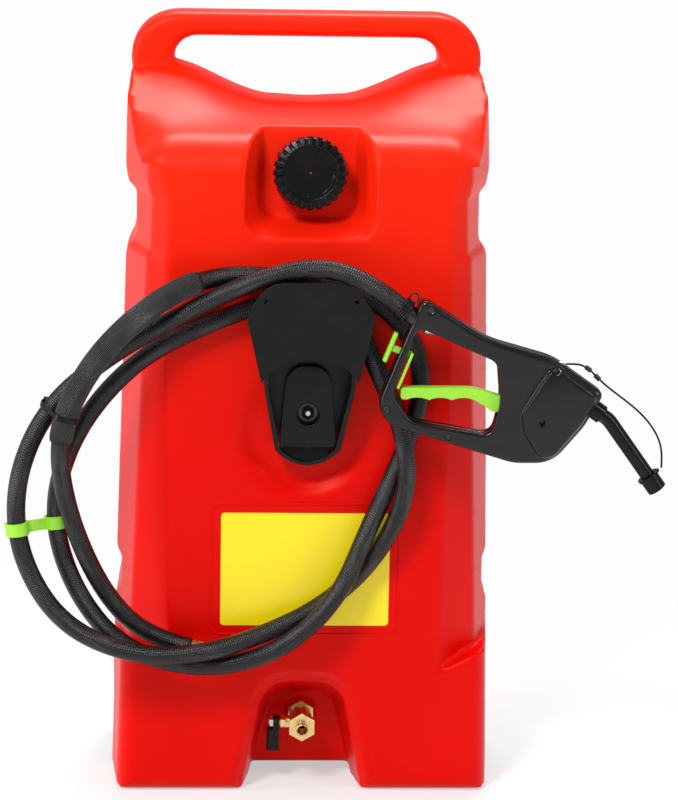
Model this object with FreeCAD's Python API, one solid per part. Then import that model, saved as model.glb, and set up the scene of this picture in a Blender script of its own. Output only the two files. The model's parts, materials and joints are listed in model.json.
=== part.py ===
# A wheeled fuel caddy of about 53 litres: a blow-moulded tank that stands on two feet and
# two wheels, with a screw cap, a brass outlet valve, a hook for its hose, and the hose with
# its trigger nozzle. Millimetres. X is to the viewer's right, -Y is the front, +Z is up.
# The origin is on the floor, under the middle of the tank with its hook and wheels.
import FreeCAD, Part
import math
import os

vector = FreeCAD.Vector

# Tank
tank_height = 862.0
tank_depth = 230.0
base_half_width = 218.0  # at the floor, on the mould's parting line
top_half_width = 195.0
parting_depth = 95.0
wall = 4.5
panel_half_top = 159.0  # the front panel's half width between the facets, at the top
panel_half_foot = 147.0
facet_inset = 20.0  # how far the slanting facet's outer edge stands in from the side
facet_depth = 30.0
facet_round = 13.0
side_draft = 8.0  # how much narrower the back is than the parting line
roof_front = 740.0  # where the roof's slope would meet the front panel
roof_height = 764.0  # the roof where it meets the handle
roof_bend = 48.0  # radius between the front panel and the roof
shoulder_low = 705.0  # the shoulders slope inwards from here up to the handle
shoulder_front = 173.0  # half width of the sloping shoulders at the front, as high as the roof
floor_corner = 24.0  # radius of the feet's outer corners, seen from the front
rear_corner = 35.0

# Handle
handle_front = 170.0  # depth of the handle's front face
handle_thick = 54.0
handle_bar = 27.0
handle_post = 49.0
handle_corner = 52.0
handle_round = 12.0
opening_corner = 24.0
lip_height = 765.0  # lowest point of the hand opening
lip_end_rise = 38.0
handle_half_low = 191.5
handle_half_top = 195.0
handle_flare = 40.0  # radius of the hollow between the roof and the handle's front
flare_root = 3.0  # how far the hollow's own body reaches into the handle

# Side grooves, feet and outlet recess
groove_depth = 7.0
groove_spans = ((606.0, 684.0), (206.0, 264.0))
groove_bevel_low = 24.0
groove_bevel_high = 10.0
foot_ledge_inner = 137.0
foot_ledge_outer = 180.0
foot_corner = 20.0
ridge_reach = 156.0  # the facets end upwards on ridges that bend outwards from here
ridge_inner = 714.0
ridge_outer = 757.0
ridge_bend = 34.0
floor_round = 16.0
floor_gap = 12.0  # clearance under the tank between its feet
recess_depth = 69.0
recess_half_width = 52.0
recess_height = 134.0
recess_back_height = 100.0
recess_back_half_width = 42.0
recess_round = 34.0
recess_ease = 9.0  # how wide the recess's front edge is eased
recess_foot_half_width = 74.0
recess_back_foot = 62.0

# Axle, wheels and their wells
wheel_radius = 75.0
wheel_width = 34.0
wheel_outer_face = 208.0
wheel_overhang = 6.0  # how far the tyres stand out behind the tank
well_clearance = 8.0
axle_radius = 6.0
axle_fit = 0.05
axle_end = 212.0
underside_start = 100.0  # where the tank's underside rises behind the feet
underside_slope = 28.0
rim_radius = 56.0
rim_thick = 7.0
hub_radius = 15.0
spoke_count = 6
spoke_width = 10.0
spoke_thick = 16.0
tyre_shoulder = 7.0
tread_spread = 6.0
tread_deep = 2.0
washer_gap = 0.3
clamp_place = 118.0
clamp_width = 18.0
clamp_thick = 4.0
clamp_screw_radius = 2.2
clamp_screw_spread = 16.0
clamp_screw_long = 14.0
screw_head_thick = 2.5
snug = 0.05  # clearance between pieces that are pressed or screwed together

# Filling recess, neck and cap
pocket_half_width = 73.0
pocket_bottom = 635.0
pocket_floor_half = 51.0
pocket_floor_drop = 50.0
pocket_corner = 20.0
neck_depth = 57.5
neck_height = 699.0
neck_tilt = 9.0
neck_reach = 30.0
neck_bore = 25.0
neck_radius = 31.0
thread_height = 1.2
thread_turns = 3
thread_pitch = 6.0
cap_radius = 40.5
cap_disc_radius = 32.0
cap_tall = 34.0
cap_top = 4.5
cap_step = 7.0
cap_fit = 0.6
cap_lugs = 30
lug_width = 4.2
lug_height = 2.0
lug_drop = 1.8
gasket_thick = 2.5
seal_gap = 0.1

# Hose hook
scoop_radius = 77.0
scoop_centre = 424.0
scoop_depth = 14.0
scoop_rim_spread = 9.0
hook_bolt_height = 443.0
hook_reach = 53.0
hook_wall = 4.5
hook_arch_radius = 49.5
hook_arch_centre = 505.0
hook_side_bend = 478.0
hook_bottom = 384.0
hook_foot_half = 31.0
hook_foot_round = 26.0
hook_foot_front = -10.0
hook_plate = 7.0
flange_thick = 4.0
flange_top = 597.0
flange_top_half = 47.0
flange_shoulder = 560.0
flange_half_width = 70.0
flange_tip = 486.0
flange_tip_half = 53.0
flange_arch_radius = 60.0
flange_arch_top = 517.0
flange_hole = 2.2
flange_hole_place = 49.0
flange_hole_drop = 21.0
tongue_half = 24.0
tongue_foot = 31.0
tongue_low = 405.0
tongue_top = 497.0
tongue_front = 14.0
bolt_seat = 4.0
bolt_radius = 4.0
bolt_head_radius = 6.5
bolt_head_thick = 5.0
bolt_recess_radius = 13.0
washer_thick = 1.5
insert_start = 8.0
insert_end = 28.0
insert_radius = 7.0

# Label
label_width = 188.0
label_height = 130.0
label_middle = 262.0
label_thick = 0.4

# Outlet valve
valve_height = 72.5
valve_bore = 5.5
bushing_flats = 29.0
bushing_long = 12.0
bushing_thread = 11.0
bushing_spigot = 20.0
valve_body_radius = 12.5
valve_front = 21.0
ball_depth = 34.0
ball_radius = 8.5
nipple_flats = 28.5
nipple_hex = 9.0
nipple_tip = 2.0
nipple_radius = 6.85
stem_radius = 4.0
stem_fit = 0.05
stem_end = 37.0
stem_boss_end = 18.0
packing_radius = 7.0
packing_outer = 5.6
packing_long = 3.0
packing_nut_end = 24.0
seat_thick = 3.4
seat_radius = 9.0
lever_gap = 1.0
lever_hub = 7.0
lever_width = 13.0
lever_drop = 33.0
lever_crank = 7.0
lever_nut_thick = 4.0

# Hose and what is on it; distances are measured along the hose from the nozzle
hose_radius = 10.25
sleeve_outer = 13.2
sleeve_gap = 0.15
sleeve_start = 2852.0
sleeve_length = 236.0
tie_place = 3062.0
tie_width = 5.0
tie_thick = 1.4
tie_gap = 0.3
tie_slack = 3.9  # the second strand crosses the tie at an angle
clip_place = 590.0
clip_long = 14.0
clip_wall = 2.4
ring_gap = 0.3
arc_share = 0.45  # the part of the shorter run that each of a cord's arcs takes

# Coupling at the free end
stem_collar = 8.0
stem_hex_end = 18.0
coupling_long = 34.0
coupling_flats = 17.0
coupling_neck = 6.9
nut_flats = 19.0
nut_overhang = 9.0

# Nozzle
nozzle_depth = -57.0  # its middle plane, in front of the tank's face
grip_half = 13.0
pump_half = 22.0
nozzle_round = 5.0
pump_round = 5.0
screw_radius = 1.6
screw_head_radius = 3.2
screw_seat = 10.0
screw_tip = 9.0
inlet_radius = 9.0
inlet_long = 16.0
flow_radius = 6.5
flow_wall = 1.8
flow_bend = 60.0
clamp_wire = 1.3
clamp_turns = 4
clamp_ear = 5.0
lever_pivot = (214.0, 466.0)
pin_radius = 2.0
pin_fit = 0.05
pin_half = 10.0
trigger_half = 6.0
trigger_gap = 0.4
trigger_hub = 8.0
hub_room = 12.0
finger_scallops = 3
scallop_radius = 30.0
scallop_deep = 1.5
spring_inner = 2.3
spring_wire = 0.7
spring_turns = 3
spring_room_deep = 4.5
spring_room_radius = 6.5
latch_height = 525.0
latch_travel = 4.0
latch_head_out = 12.5
latch_head_half = 17.0
latch_stem_half = 3.5
latch_stem_deep = 3.0
latch_play = 0.2
bar_thick = 10.0
arm_start = 11.9
arm_thick = 3.0
arm_offset = 7.0
arm_deep = 3.5
arm_drop = 38.0
spout_start = (290.0, 475.0)
spout_bend = (326.0, 449.0)
spout_tip = (376.0, 380.0)
spout_bend_radius = 25.0
spout_radius = 8.0
spout_wall = 1.6
spout_collar_radius = 10.5
spout_collar_long = 34.0
spout_cap_radius = 10.8
spout_cap_long = 19.0
spout_cap_grip = 9.0
cap_lug_radius = 3.2

# Tether of the spout's cap
tether_radius = 1.1
anchor_radius = 3.0
anchor_long = 11.0
ferrule_long = 7.0
ferrule_places = (22.0, 36.0)

front_y = -(tank_depth + wheel_overhang - hook_reach) / 2
wheel_depth = tank_depth + wheel_overhang - wheel_radius


def spot(x, depth, z):
    # A place given by its depth behind the tank's front face.
    return vector(x, front_y + depth, z)


def half_width(z):
    return base_half_width + (top_half_width - base_half_width) * z / tank_height


def rounded_path(points, radii, closed=True):
    # Straight runs through the points, joined by tangent arcs of the given radii.
    joints = []
    for i, here in enumerate(points):
        radius = radii[i]
        if radius == 0:
            joints.append((here, None, here))
            continue
        back = (points[i - 1] - here).normalize()
        ahead = (points[(i + 1) % len(points)] - here).normalize()
        half = back.getAngle(ahead) / 2
        reach = radius / math.tan(half)
        middle = (back + ahead).normalize()
        near = here + middle * (radius / math.sin(half) - radius)
        joints.append((here + back * reach, near, here + ahead * reach))
    edges = []
    last = len(points) if closed else len(points) - 1
    for i in range(len(points)):
        arrive, near, leave = joints[i]
        if near is not None:
            edges.append(Part.Arc(arrive, near, leave).toShape())
        if i < last:
            following = joints[(i + 1) % len(points)][0]
            if (following - leave).Length > 1e-4:
                edges.append(Part.LineSegment(leave, following).toShape())
    return edges


def outline(corners, place):
    # A closed wire from (a, b, radius) corners, put in space by place(a, b).
    points = [place(a, b) for a, b, radius in corners]
    return Part.Wire(rounded_path(points, [radius for a, b, radius in corners]))


def plate_xz(corners, depth, thick):
    wire = outline(corners, lambda x, z: spot(x, depth, z))
    return Part.Face(wire).extrude(vector(0, thick, 0))


def block(x0, x1, depth0, depth1, z0, z1):
    return Part.makeBox(x1 - x0, depth1 - depth0, z1 - z0, spot(x0, depth0, z0))


def rod(start, end, radius):
    return Part.makeCylinder(radius, (end - start).Length, start, end - start)


def pipe(start, end, outer, inner):
    return rod(start, end, outer).cut(rod(start, end, inner))


def hexagon(start, end, flats):
    # A hexagonal bar with a corner up, from start to end.
    along = end - start
    side = along.cross(vector(0, 0, 1)).normalize()
    rise = side.cross(along).normalize()
    points = []
    for i in range(7):
        turn = math.radians(60 * i)
        reach = flats / 2 / math.cos(math.radians(30))
        points.append(start + rise * (reach * math.cos(turn)) + side * (reach * math.sin(turn)))
    return Part.Face(Part.makePolygon(points)).extrude(along)


def mirrored(shape):
    return shape.mirror(vector(0, 0, 0), vector(1, 0, 0))


def soften(shape, radius, wanted):
    # Rounds the edges that wanted(edge) picks.
    edges = [edge for edge in shape.Edges if wanted(edge)]
    return shape.makeFillet(radius, edges)


# ---- Tank ----


def beyond(first, second, third, inset):
    # Everything outside the plane through three places, moved inwards by the inset.
    normal = (second - first).cross(third - first).normalize()
    size = 2 * tank_height
    slab = Part.makeBox(2 * size, 2 * size, size, vector(-size, -size, 0))
    slab.Placement = FreeCAD.Placement(first - normal * inset, FreeCAD.Rotation(vector(0, 0, 1), normal))
    return slab


def tower(inset, faceted):
    # The upright block of the tank: flat front and back, sides that meet on the parting line.
    high = tank_height
    wide_low, wide_high = half_width(0), half_width(high)
    front_edge = facet_inset if faceted else facet_inset / 2
    front_edge_depth = facet_depth if faceted else 0
    low = spot(wide_low, parting_depth, 0)
    top = spot(wide_high, parting_depth, high)
    side_front = beyond(low, top, spot(wide_low - front_edge, front_edge_depth, 0), inset)
    side_back = beyond(top, low, spot(wide_low - side_draft, tank_depth, 0), inset)
    cutters = [side_front, side_back]
    if faceted:
        edge = half_width(high / 2) - facet_inset
        line = spot(panel_half_foot, 0, 0)
        cutters.append(beyond(spot(panel_half_top, 0, high), line, spot(edge, facet_depth, 0), inset))
    body = block(-wide_low, wide_low, inset, tank_depth - inset, -1, high + 1)
    for cutter in cutters:
        body = body.cut(cutter).cut(mirrored(cutter))

    def upright(edge):
        box = edge.BoundBox
        return box.ZLength > high / 2

    def at_back(edge):
        return upright(edge) and edge.BoundBox.YMin > front_y + tank_depth - inset - 1

    def at_front(edge):
        return upright(edge) and edge.BoundBox.YMax < front_y + parting_depth - 10

    body = soften(body, rear_corner - inset, at_back)
    return soften(body, (facet_round if faceted else foot_corner) - inset, at_front)


def side_profile(inset):
    # The tank seen from the side, as (depth, height) corners: feet, front, roof, back.
    corners = [
        (inset, inset, floor_round),
        (inset, roof_front - inset, roof_bend),
        (handle_front, roof_height - inset, 0),
        (tank_depth - inset, roof_height - inset, 18),
        (tank_depth - inset, wheel_radius + inset, 14),
        (underside_start + underside_slope + inset / 2, wheel_radius + inset, 14),
        (underside_start + inset / 2, inset, 10),
    ]
    wide = base_half_width + 10
    wire = outline(corners, lambda depth, z: spot(-wide, depth, z))
    return Part.Face(wire).extrude(vector(2 * wide, 0, 0))


def foot_zone(inset):
    # Below the slanting ledges the feet fill the facets out to the full width.
    reach = base_half_width + 10
    low = foot_ledge_inner - 30
    corners = [(60, -10, 0), (reach, -10, 0), (reach, foot_ledge_outer - inset, 0)]
    corners += [(140, foot_ledge_inner - inset, 0), (60, low - inset, 0)]
    right = plate_xz(corners, -10, 135)
    return right.fuse(mirrored(right))


def shoulder_zone(inset):
    # Above curved ridges the facets end and the front is wide again.
    reach = base_half_width + 10
    low = ridge_inner - 2 * ridge_bend
    edge = ridge_reach - inset
    corners = [(60, tank_height, 0), (60, low, 0), (edge, low, 0)]
    corners += [(edge, ridge_inner + inset, ridge_bend), (reach, ridge_outer + inset, 0)]
    corners.append((reach, tank_height, 0))
    right = plate_xz(corners, -10, 135)
    return right.fuse(mirrored(right))


def shoulders(inset):
    # What the sloping shoulders take off the tank's upper sides.
    low = spot(half_width(shoulder_low), parting_depth, shoulder_low)
    top = spot(handle_half_low, parting_depth, roof_height)
    cutter = beyond(low, top, spot(shoulder_front, 0, roof_height), inset)
    return [cutter, mirrored(cutter)]


def front_outline(inset):
    # The tank seen from the front, for the round outer corners of its feet.
    low, high = half_width(0) - inset, half_width(tank_height) - inset
    corners = [(-low, inset, floor_corner), (low, inset, floor_corner)]
    corners += [(high, tank_height, 0), (-high, tank_height, 0)]
    return plate_xz(corners, -10, tank_depth + 20)


def grooves(inset):
    # The two grooves along each side.
    cutters = []
    for low, high in groove_spans:
        deep = half_width((low + high) / 2) - groove_depth - inset
        reach = base_half_width + 20
        slope = (reach - deep) / groove_depth
        corners = [
            (deep, low + groove_bevel_low - inset, 8),
            (reach, low + groove_bevel_low - groove_bevel_low * slope - inset, 0),
            (reach, high - groove_bevel_high + groove_bevel_high * slope + inset, 0),
            (deep, high - groove_bevel_high + inset, 5),
        ]
        cutter = plate_xz(corners, -10, tank_depth + 20)
        cutters += [cutter, mirrored(cutter)]
    return cutters


def outlet_recess(inset):
    # The arched recess at the foot of the front, which narrows towards its back wall.
    def arch(foot, shoulder, top, depth, round_top):
        corners = [(foot, -20, 0), (shoulder, top, round_top), (-shoulder, top, round_top), (-foot, -20, 0)]
        return outline(corners, lambda x, z: spot(x, depth, z))

    extra = inset
    front = arch(
        recess_foot_half_width + extra, recess_half_width - 8 + extra, recess_height + extra, -1, recess_round
    )
    back = arch(
        recess_back_foot + extra,
        recess_back_half_width - 6 + extra,
        recess_back_height + extra,
        recess_depth + extra,
        recess_round,
    )
    eased = arch(
        recess_foot_half_width + extra + recess_ease,
        recess_half_width - 8 + extra + recess_ease,
        recess_height + extra + recess_ease,
        -0.1,
        recess_round + recess_ease,
    )
    inner = arch(
        recess_foot_half_width + extra,
        recess_half_width - 8 + extra,
        recess_height + extra,
        recess_ease,
        recess_round,
    )
    mouth = Part.makeLoft([eased, inner], True, True)
    return Part.makeLoft([front, back], True, True).fuse(mouth)


def neck_axis():
    return vector(0, -math.cos(math.radians(neck_tilt)), math.sin(math.radians(neck_tilt)))


def neck_point(along):
    return spot(0, neck_depth, neck_height) + neck_axis() * along


def filling_pocket(inset):
    # The square recess of the cap; its floor is tilted square to the neck.
    rise = vector(0, math.sin(math.radians(neck_tilt)), math.cos(math.radians(neck_tilt)))
    middle = neck_point(-inset)
    up = roof_height + 40 - neck_height
    half = pocket_floor_half + inset
    low = pocket_floor_drop + inset

    def on_floor(x, z):
        return middle + vector(x, 0, 0) + rise * z

    floor = outline(
        [(-half, -low, pocket_corner), (half, -low, pocket_corner), (half, up, 0), (-half, up, 0)],
        on_floor,
    )
    side = pocket_half_width + inset
    bottom = pocket_bottom - inset
    top = roof_height + 40
    mouth = outline(
        [(-side, bottom, pocket_corner), (side, bottom, pocket_corner), (side, top, 0), (-side, top, 0)],
        lambda x, z: spot(x, -2, z),
    )
    return Part.makeLoft([mouth, floor], True, True)


def scoop_tilt(shape):
    # Leans a shape as the scoop's floor leans, about the scoop's centre.
    slope = math.degrees(math.atan2(scoop_depth, 2 * scoop_radius))
    shape.rotate(vector(0, 0, 0), vector(1, 0, 0), slope)
    shape.translate(spot(0, scoop_depth / 2, scoop_centre))
    return shape


def hook_scoop(inset):
    # The round scoop behind the hose hook: nothing at its top, deepest at its foot.
    radius = scoop_radius + inset
    spread = scoop_rim_spread
    disc = Part.makeCone(radius - spread, radius + spread, 40, vector(0, inset, 0), vector(0, -1, 0))
    return scoop_tilt(disc)


def behind_hook(lift):
    # Everything behind the plane of the scoop's floor, moved forwards by the lift.
    size = 4 * scoop_radius
    return scoop_tilt(Part.makeBox(2 * size, size, 2 * size, vector(-size, -lift, -size)))


def wheel_well(inset):
    inner = wheel_outer_face - wheel_width - well_clearance / 2 - inset
    radius = wheel_radius + well_clearance + inset
    reach = base_half_width + 30
    round_part = rod(spot(inner, wheel_depth, wheel_radius), spot(reach, wheel_depth, wheel_radius), radius)
    low = block(inner, reach, wheel_depth - radius, tank_depth + 20, -20, wheel_radius)
    behind = block(inner, reach, wheel_depth, tank_depth + 20, -20, wheel_radius + radius)
    return round_part.fuse([low, behind])


def axle_groove(inset):
    start = spot(-base_half_width, wheel_depth, wheel_radius)
    end = spot(base_half_width, wheel_depth, wheel_radius)
    return rod(start, end, axle_radius + axle_fit + inset)


def floor_channel(inset):
    half = recess_back_foot + inset
    return block(-half, half, recess_depth - 4, tank_depth, -10, floor_gap + inset)


def back_ribs(inset):
    # Three shallow stiffening grooves across the back.
    cutters = []
    for height in (230, 400, 570):
        start = spot(-130, tank_depth + 10, height)
        end = spot(130, tank_depth + 10, height)
        cutters.append(rod(start, end, 16 + inset))
    return cutters


def tank_form(inset):
    form = tower(inset, True).common(side_profile(inset))
    full = tower(inset, False).common(side_profile(inset))
    form = form.fuse([full.common(foot_zone(inset)), full.common(shoulder_zone(inset))])
    form = form.common(front_outline(inset))
    well = wheel_well(inset)
    cutters = grooves(inset) + back_ribs(inset) + shoulders(inset)
    cutters += [outlet_recess(inset), filling_pocket(inset), hook_scoop(inset)]
    cutters += [well, mirrored(well), axle_groove(inset), floor_channel(inset)]
    for cutter in cutters:
        form = form.cut(cutter)
    return form


def handle():
    # A slab at the back of the roof with the hand opening through it.
    low = roof_height - 80
    root = handle_half_low - 14
    slab = plate_xz(
        [
            (-root, low, 0),
            (root, low, 0),
            (handle_half_low, roof_height - 20, 30),
            (handle_half_top, tank_height, handle_corner),
            (-handle_half_top, tank_height, handle_corner),
            (-handle_half_low, roof_height - 20, 30),
        ],
        handle_front,
        handle_thick,
    )
    inner = half_width(tank_height - 60) - handle_post
    top = tank_height - handle_bar
    end = lip_height + lip_end_rise
    corners = [
        (-inner, end, 12),
        (-inner, top, opening_corner),
        (inner, top, opening_corner),
        (inner, end, 12),
        (inner * 0.55, lip_height + 4, 120),
        (0, lip_height, 0),
        (-inner * 0.55, lip_height + 4, 120),
    ]
    opening = plate_xz(corners, handle_front - handle_flare, handle_thick + handle_flare + 2)
    slab = slab.cut(opening)

    def rim(edge):
        box = edge.BoundBox
        flat = box.YLength < 0.01
        at_root = box.ZMin < low + 1
        return flat and box.ZMax > low + 1 and not (box.ZLength < 0.01 and at_root)

    return soften(slab, handle_round, rim).fuse(handle_foot().cut(opening))


def handle_foot():
    # The hollow curve that joins the roof to the front of the handle's posts.
    slope = (roof_height - roof_front) / handle_front
    root = handle_front + flare_root
    lean = math.atan(slope)
    run = handle_flare * math.tan((math.pi / 2 - lean) / 2) + 0.5
    start = root - run * math.cos(lean)
    corner = roof_height + flare_root * slope
    low = roof_height - 4 * flare_root
    corners = [
        (root + flare_root, low, 0),
        (start, low, 0),
        (start, corner - (root - start) * slope, 0),
        (root, corner, handle_flare),
        (root, corner + run, 0),
        (root + flare_root, corner + run, 0),
    ]
    wide = handle_half_low - handle_round
    wire = outline(corners, lambda depth, z: spot(-wide, depth, z))
    return Part.Face(wire).extrude(vector(2 * wide, 0, 0))


def screw_boss(x, depth):
    # A moulded post for a screw that comes up through the tank's underside.
    foot = spot(x, depth, wheel_radius)
    top = spot(x, depth, wheel_radius + clamp_screw_long + 4)
    return rod(foot, top, clamp_screw_radius + 4)


def clamp_screw_places():
    places = []
    for x in (-clamp_place, clamp_place):
        for side in (-1, 1):
            places.append((x, wheel_depth + side * clamp_screw_spread))
    return places


def tank_shell():
    # The blow-moulded tank: one wall all round, with its neck, insert bosses and outlet port.
    shell = tank_form(0).fuse(handle())
    shell = shell.cut(tank_form(wall))
    neck = rod(neck_point(-wall - 4), neck_point(neck_reach), neck_radius)
    for turn in range(thread_turns):
        along = neck_reach - 5 - turn * thread_pitch
        neck = neck.fuse(rod(neck_point(along), neck_point(along + 2), neck_radius + thread_height))
    boss = rod(spot(0, 2, hook_bolt_height), spot(0, insert_end + 4, hook_bolt_height), insert_radius + 6)
    port_start = spot(0, recess_depth + 1, valve_height)
    port = rod(port_start, spot(0, recess_depth + bushing_spigot, valve_height), bushing_thread + 8)
    bosses = [screw_boss(x, depth) for x, depth in clamp_screw_places()]
    shell = shell.fuse([neck, boss.cut(hook_scoop(0)), port] + bosses)
    holes = [
        rod(neck_point(-60), neck_point(neck_reach + 1), neck_bore),
        rod(
            spot(0, recess_depth - 1, valve_height),
            spot(0, recess_depth + bushing_spigot + 1, valve_height),
            bushing_thread + snug,
        ),
        rod(spot(0, -2, hook_bolt_height), spot(0, insert_end, hook_bolt_height), insert_radius + snug),
    ]
    for x, depth in clamp_screw_places():
        foot = spot(x, depth, wheel_radius - 1)
        top = spot(x, depth, wheel_radius + clamp_screw_long)
        holes.append(rod(foot, top, clamp_screw_radius + snug))
    for hole in holes:
        shell = shell.cut(hole)
    return shell


# ---- Filler cap ----


def cap_end():
    return neck_reach + gasket_thick + cap_top


def filler_cap():
    top = cap_end()
    base = top - cap_tall
    cap = rod(neck_point(base), neck_point(top - cap_step), cap_radius - lug_height)
    cap = cap.fuse(rod(neck_point(base), neck_point(top), cap_disc_radius))
    lug_long = cap_radius - cap_disc_radius + 1
    lug_tall = top - lug_drop - base
    lugs = []
    for i in range(cap_lugs):
        lug = Part.makeBox(lug_width, lug_long, lug_tall, vector(-lug_width / 2, cap_disc_radius - 1, 0))
        lug.rotate(vector(0, 0, 0), vector(0, 0, 1), 360 * i / cap_lugs)
        lugs.append(lug)
    crown = lugs[0].fuse(lugs[1:])
    crown.Placement = FreeCAD.Placement(neck_point(base), FreeCAD.Rotation(vector(0, 0, 1), neck_axis()))
    cap = cap.fuse(crown)
    inside = rod(neck_point(base - 1), neck_point(top - cap_top), neck_radius + thread_height + cap_fit)
    return cap.cut(inside)


def cap_gasket():
    start = neck_point(neck_reach)
    return pipe(start, neck_point(neck_reach + gasket_thick - seal_gap), neck_radius, neck_bore)


# ---- Hose hook ----


def cup_outline(inset, depth):
    # The hook's cup from the front: a round arch, sides that draw in, a rounded foot.
    half = hook_arch_radius - inset
    top = hook_arch_centre + half
    low = hook_bottom + inset
    foot = hook_foot_half - inset
    corners = [(-half, top, half - 0.1), (half, top, half - 0.1), (half, hook_side_bend, 40)]
    corners += [(foot, low, hook_foot_round - inset), (-foot, low, hook_foot_round - inset)]
    corners += [(-half, hook_side_bend, 40)]
    return outline(corners, lambda x, z: spot(x, depth, z))


def hook_flange():
    # The keeper plate in front, with the arch that opens the cup to view.
    corners = [
        (-flange_tip_half, flange_tip, 3),
        (-flange_half_width, flange_shoulder, 25),
        (-flange_top_half, flange_top, 36),
        (flange_top_half, flange_top, 36),
        (flange_half_width, flange_shoulder, 25),
        (flange_tip_half, flange_tip, 3),
    ]
    plate = plate_xz(corners, -hook_reach, flange_thick)
    low = flange_arch_top - flange_arch_radius
    plate = plate.cut(rod(spot(0, -hook_reach - 1, low), spot(0, 0, low), flange_arch_radius))
    for x in (-flange_hole_place, flange_hole_place):
        start = spot(x, -hook_reach - 1, flange_top - flange_hole_drop)
        plate = plate.cut(rod(start, start + vector(0, flange_thick + 2, 0), flange_hole))
    return plate


def hose_hook():
    back = scoop_depth + 5
    face = flange_thick - hook_reach
    cup = Part.Face(cup_outline(0, face)).extrude(vector(0, back - face, 0))
    room = Part.Face(cup_outline(hook_wall, face - 1)).extrude(vector(0, back - face, 0))
    cup = cup.cut(room.cut(behind_hook(hook_plate)))
    slope = [
        (-hook_reach - 5, flange_tip, 0),
        (face, flange_tip, 0),
        (hook_foot_front, hook_bottom, 0),
        (hook_foot_front, hook_bottom - 20, 0),
        (-hook_reach - 5, hook_bottom - 20, 0),
    ]
    width = 2 * hook_arch_radius + 20
    front = Part.Face(outline(slope, lambda depth, z: spot(-width / 2, depth, z)))
    cup = cup.cut(front.extrude(vector(width, 0, 0)))
    tongue = [(-tongue_foot, tongue_low, 8), (tongue_foot, tongue_low, 8)]
    tongue += [(tongue_half, tongue_top, tongue_half - 1), (-tongue_half, tongue_top, tongue_half - 1)]
    raised = plate_xz(tongue, -tongue_front, tongue_front + 4).cut(behind_hook(hook_plate - 1))
    cup = cup.fuse([raised, hook_flange()])
    seat = block(-width, width, 0, 60, hook_bottom - 40, flange_top + 40).fuse(behind_hook(0))
    upper = block(-width, width, -hook_reach, 0, scoop_centre + scoop_radius, flange_top)
    cup = cup.cut(seat.cut(upper))
    recess = rod(
        spot(0, -tongue_front - 1, hook_bolt_height),
        spot(0, -bolt_seat, hook_bolt_height),
        bolt_recess_radius,
    )
    hole = rod(spot(0, -bolt_seat - 1, hook_bolt_height), spot(0, 20, hook_bolt_height), bolt_radius + snug)
    return cup.cut(recess).cut(hole)


def hook_washer():
    start = spot(0, -bolt_seat - washer_thick, hook_bolt_height)
    return pipe(start, spot(0, -bolt_seat, hook_bolt_height), bolt_head_radius + 3.5, bolt_radius + snug)


def hook_bolt():
    seat = -bolt_seat - washer_thick
    under = spot(0, seat, hook_bolt_height)
    head = hexagon(spot(0, seat - bolt_head_thick, hook_bolt_height), under, 2 * bolt_head_radius)
    return head.fuse(rod(under, spot(0, insert_end - 4, hook_bolt_height), bolt_radius))


def hook_insert():
    # The threaded brass insert moulded into the tank behind the hook.
    start = spot(0, insert_start, hook_bolt_height)
    return pipe(start, spot(0, insert_end, hook_bolt_height), insert_radius, bolt_radius + snug)


def label():
    half = label_width / 2
    low, high = label_middle - label_height / 2, label_middle + label_height / 2
    corners = [(-half, low, 4), (half, low, 4), (half, high, 4), (-half, high, 4)]
    return plate_xz(corners, -label_thick, label_thick)


# ---- Outlet valve ----


def on_valve(depth):
    return spot(0, depth, valve_height)


def beside_valve(x):
    return spot(-x, ball_depth, valve_height)


def outlet_bushing():
    body = hexagon(on_valve(recess_depth - bushing_long), on_valve(recess_depth), bushing_flats)
    spigot = rod(on_valve(recess_depth), on_valve(recess_depth + bushing_spigot), bushing_thread)
    bore = rod(on_valve(0), on_valve(recess_depth + bushing_spigot + 1), valve_bore)
    return body.fuse(spigot).cut(bore)


def seat_end():
    return ball_radius + 0.1


def valve_body():
    back = recess_depth - bushing_long
    body = rod(on_valve(valve_front), on_valve(back), valve_body_radius)
    body = body.fuse(rod(beside_valve(0), beside_valve(stem_boss_end), packing_radius))
    body = body.cut(rod(on_valve(0), on_valve(back + 1), valve_bore))
    body = body.cut(rod(on_valve(0), on_valve(ball_depth + seat_end()), seat_radius + snug))
    body = body.cut(rod(beside_valve(0), beside_valve(stem_boss_end + 1), stem_radius + stem_fit))
    packing = rod(beside_valve(stem_boss_end - packing_long), beside_valve(stem_boss_end + 1), packing_outer)
    return body.cut(packing)


def valve_seats():
    # The two seal rings that the ball turns between.
    ball = Part.makeSphere(ball_radius + stem_fit, on_valve(ball_depth))
    rings = []
    for side in (-1, 1):
        start = on_valve(ball_depth + side * (seat_end() - seat_thick))
        ring = pipe(start, on_valve(ball_depth + side * seat_end()), seat_radius, valve_bore)
        rings.append(ring.cut(ball))
    return Part.makeCompound(rings)


def stem_tongue(gap):
    long, wide, tall = 3, 1.5 + gap, 3.4 + gap
    return Part.makeBox(
        long + gap, 2 * wide, 2 * tall, spot(-ball_radius, ball_depth - wide, valve_height - tall)
    )


def valve_ball():
    ball = Part.makeSphere(ball_radius, on_valve(ball_depth))
    up = vector(0, 0, ball_radius + 1)
    bore = rod(on_valve(ball_depth) - up, on_valve(ball_depth) + up, valve_bore)
    return ball.cut(bore).cut(stem_tongue(stem_fit))


def valve_stem():
    stem = rod(beside_valve(ball_radius), beside_valve(stem_end), stem_radius)
    return stem.fuse(stem_tongue(0))


def stem_packing():
    start = beside_valve(stem_boss_end - packing_long)
    return pipe(start, beside_valve(stem_boss_end), packing_outer - snug, stem_radius + stem_fit)


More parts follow.
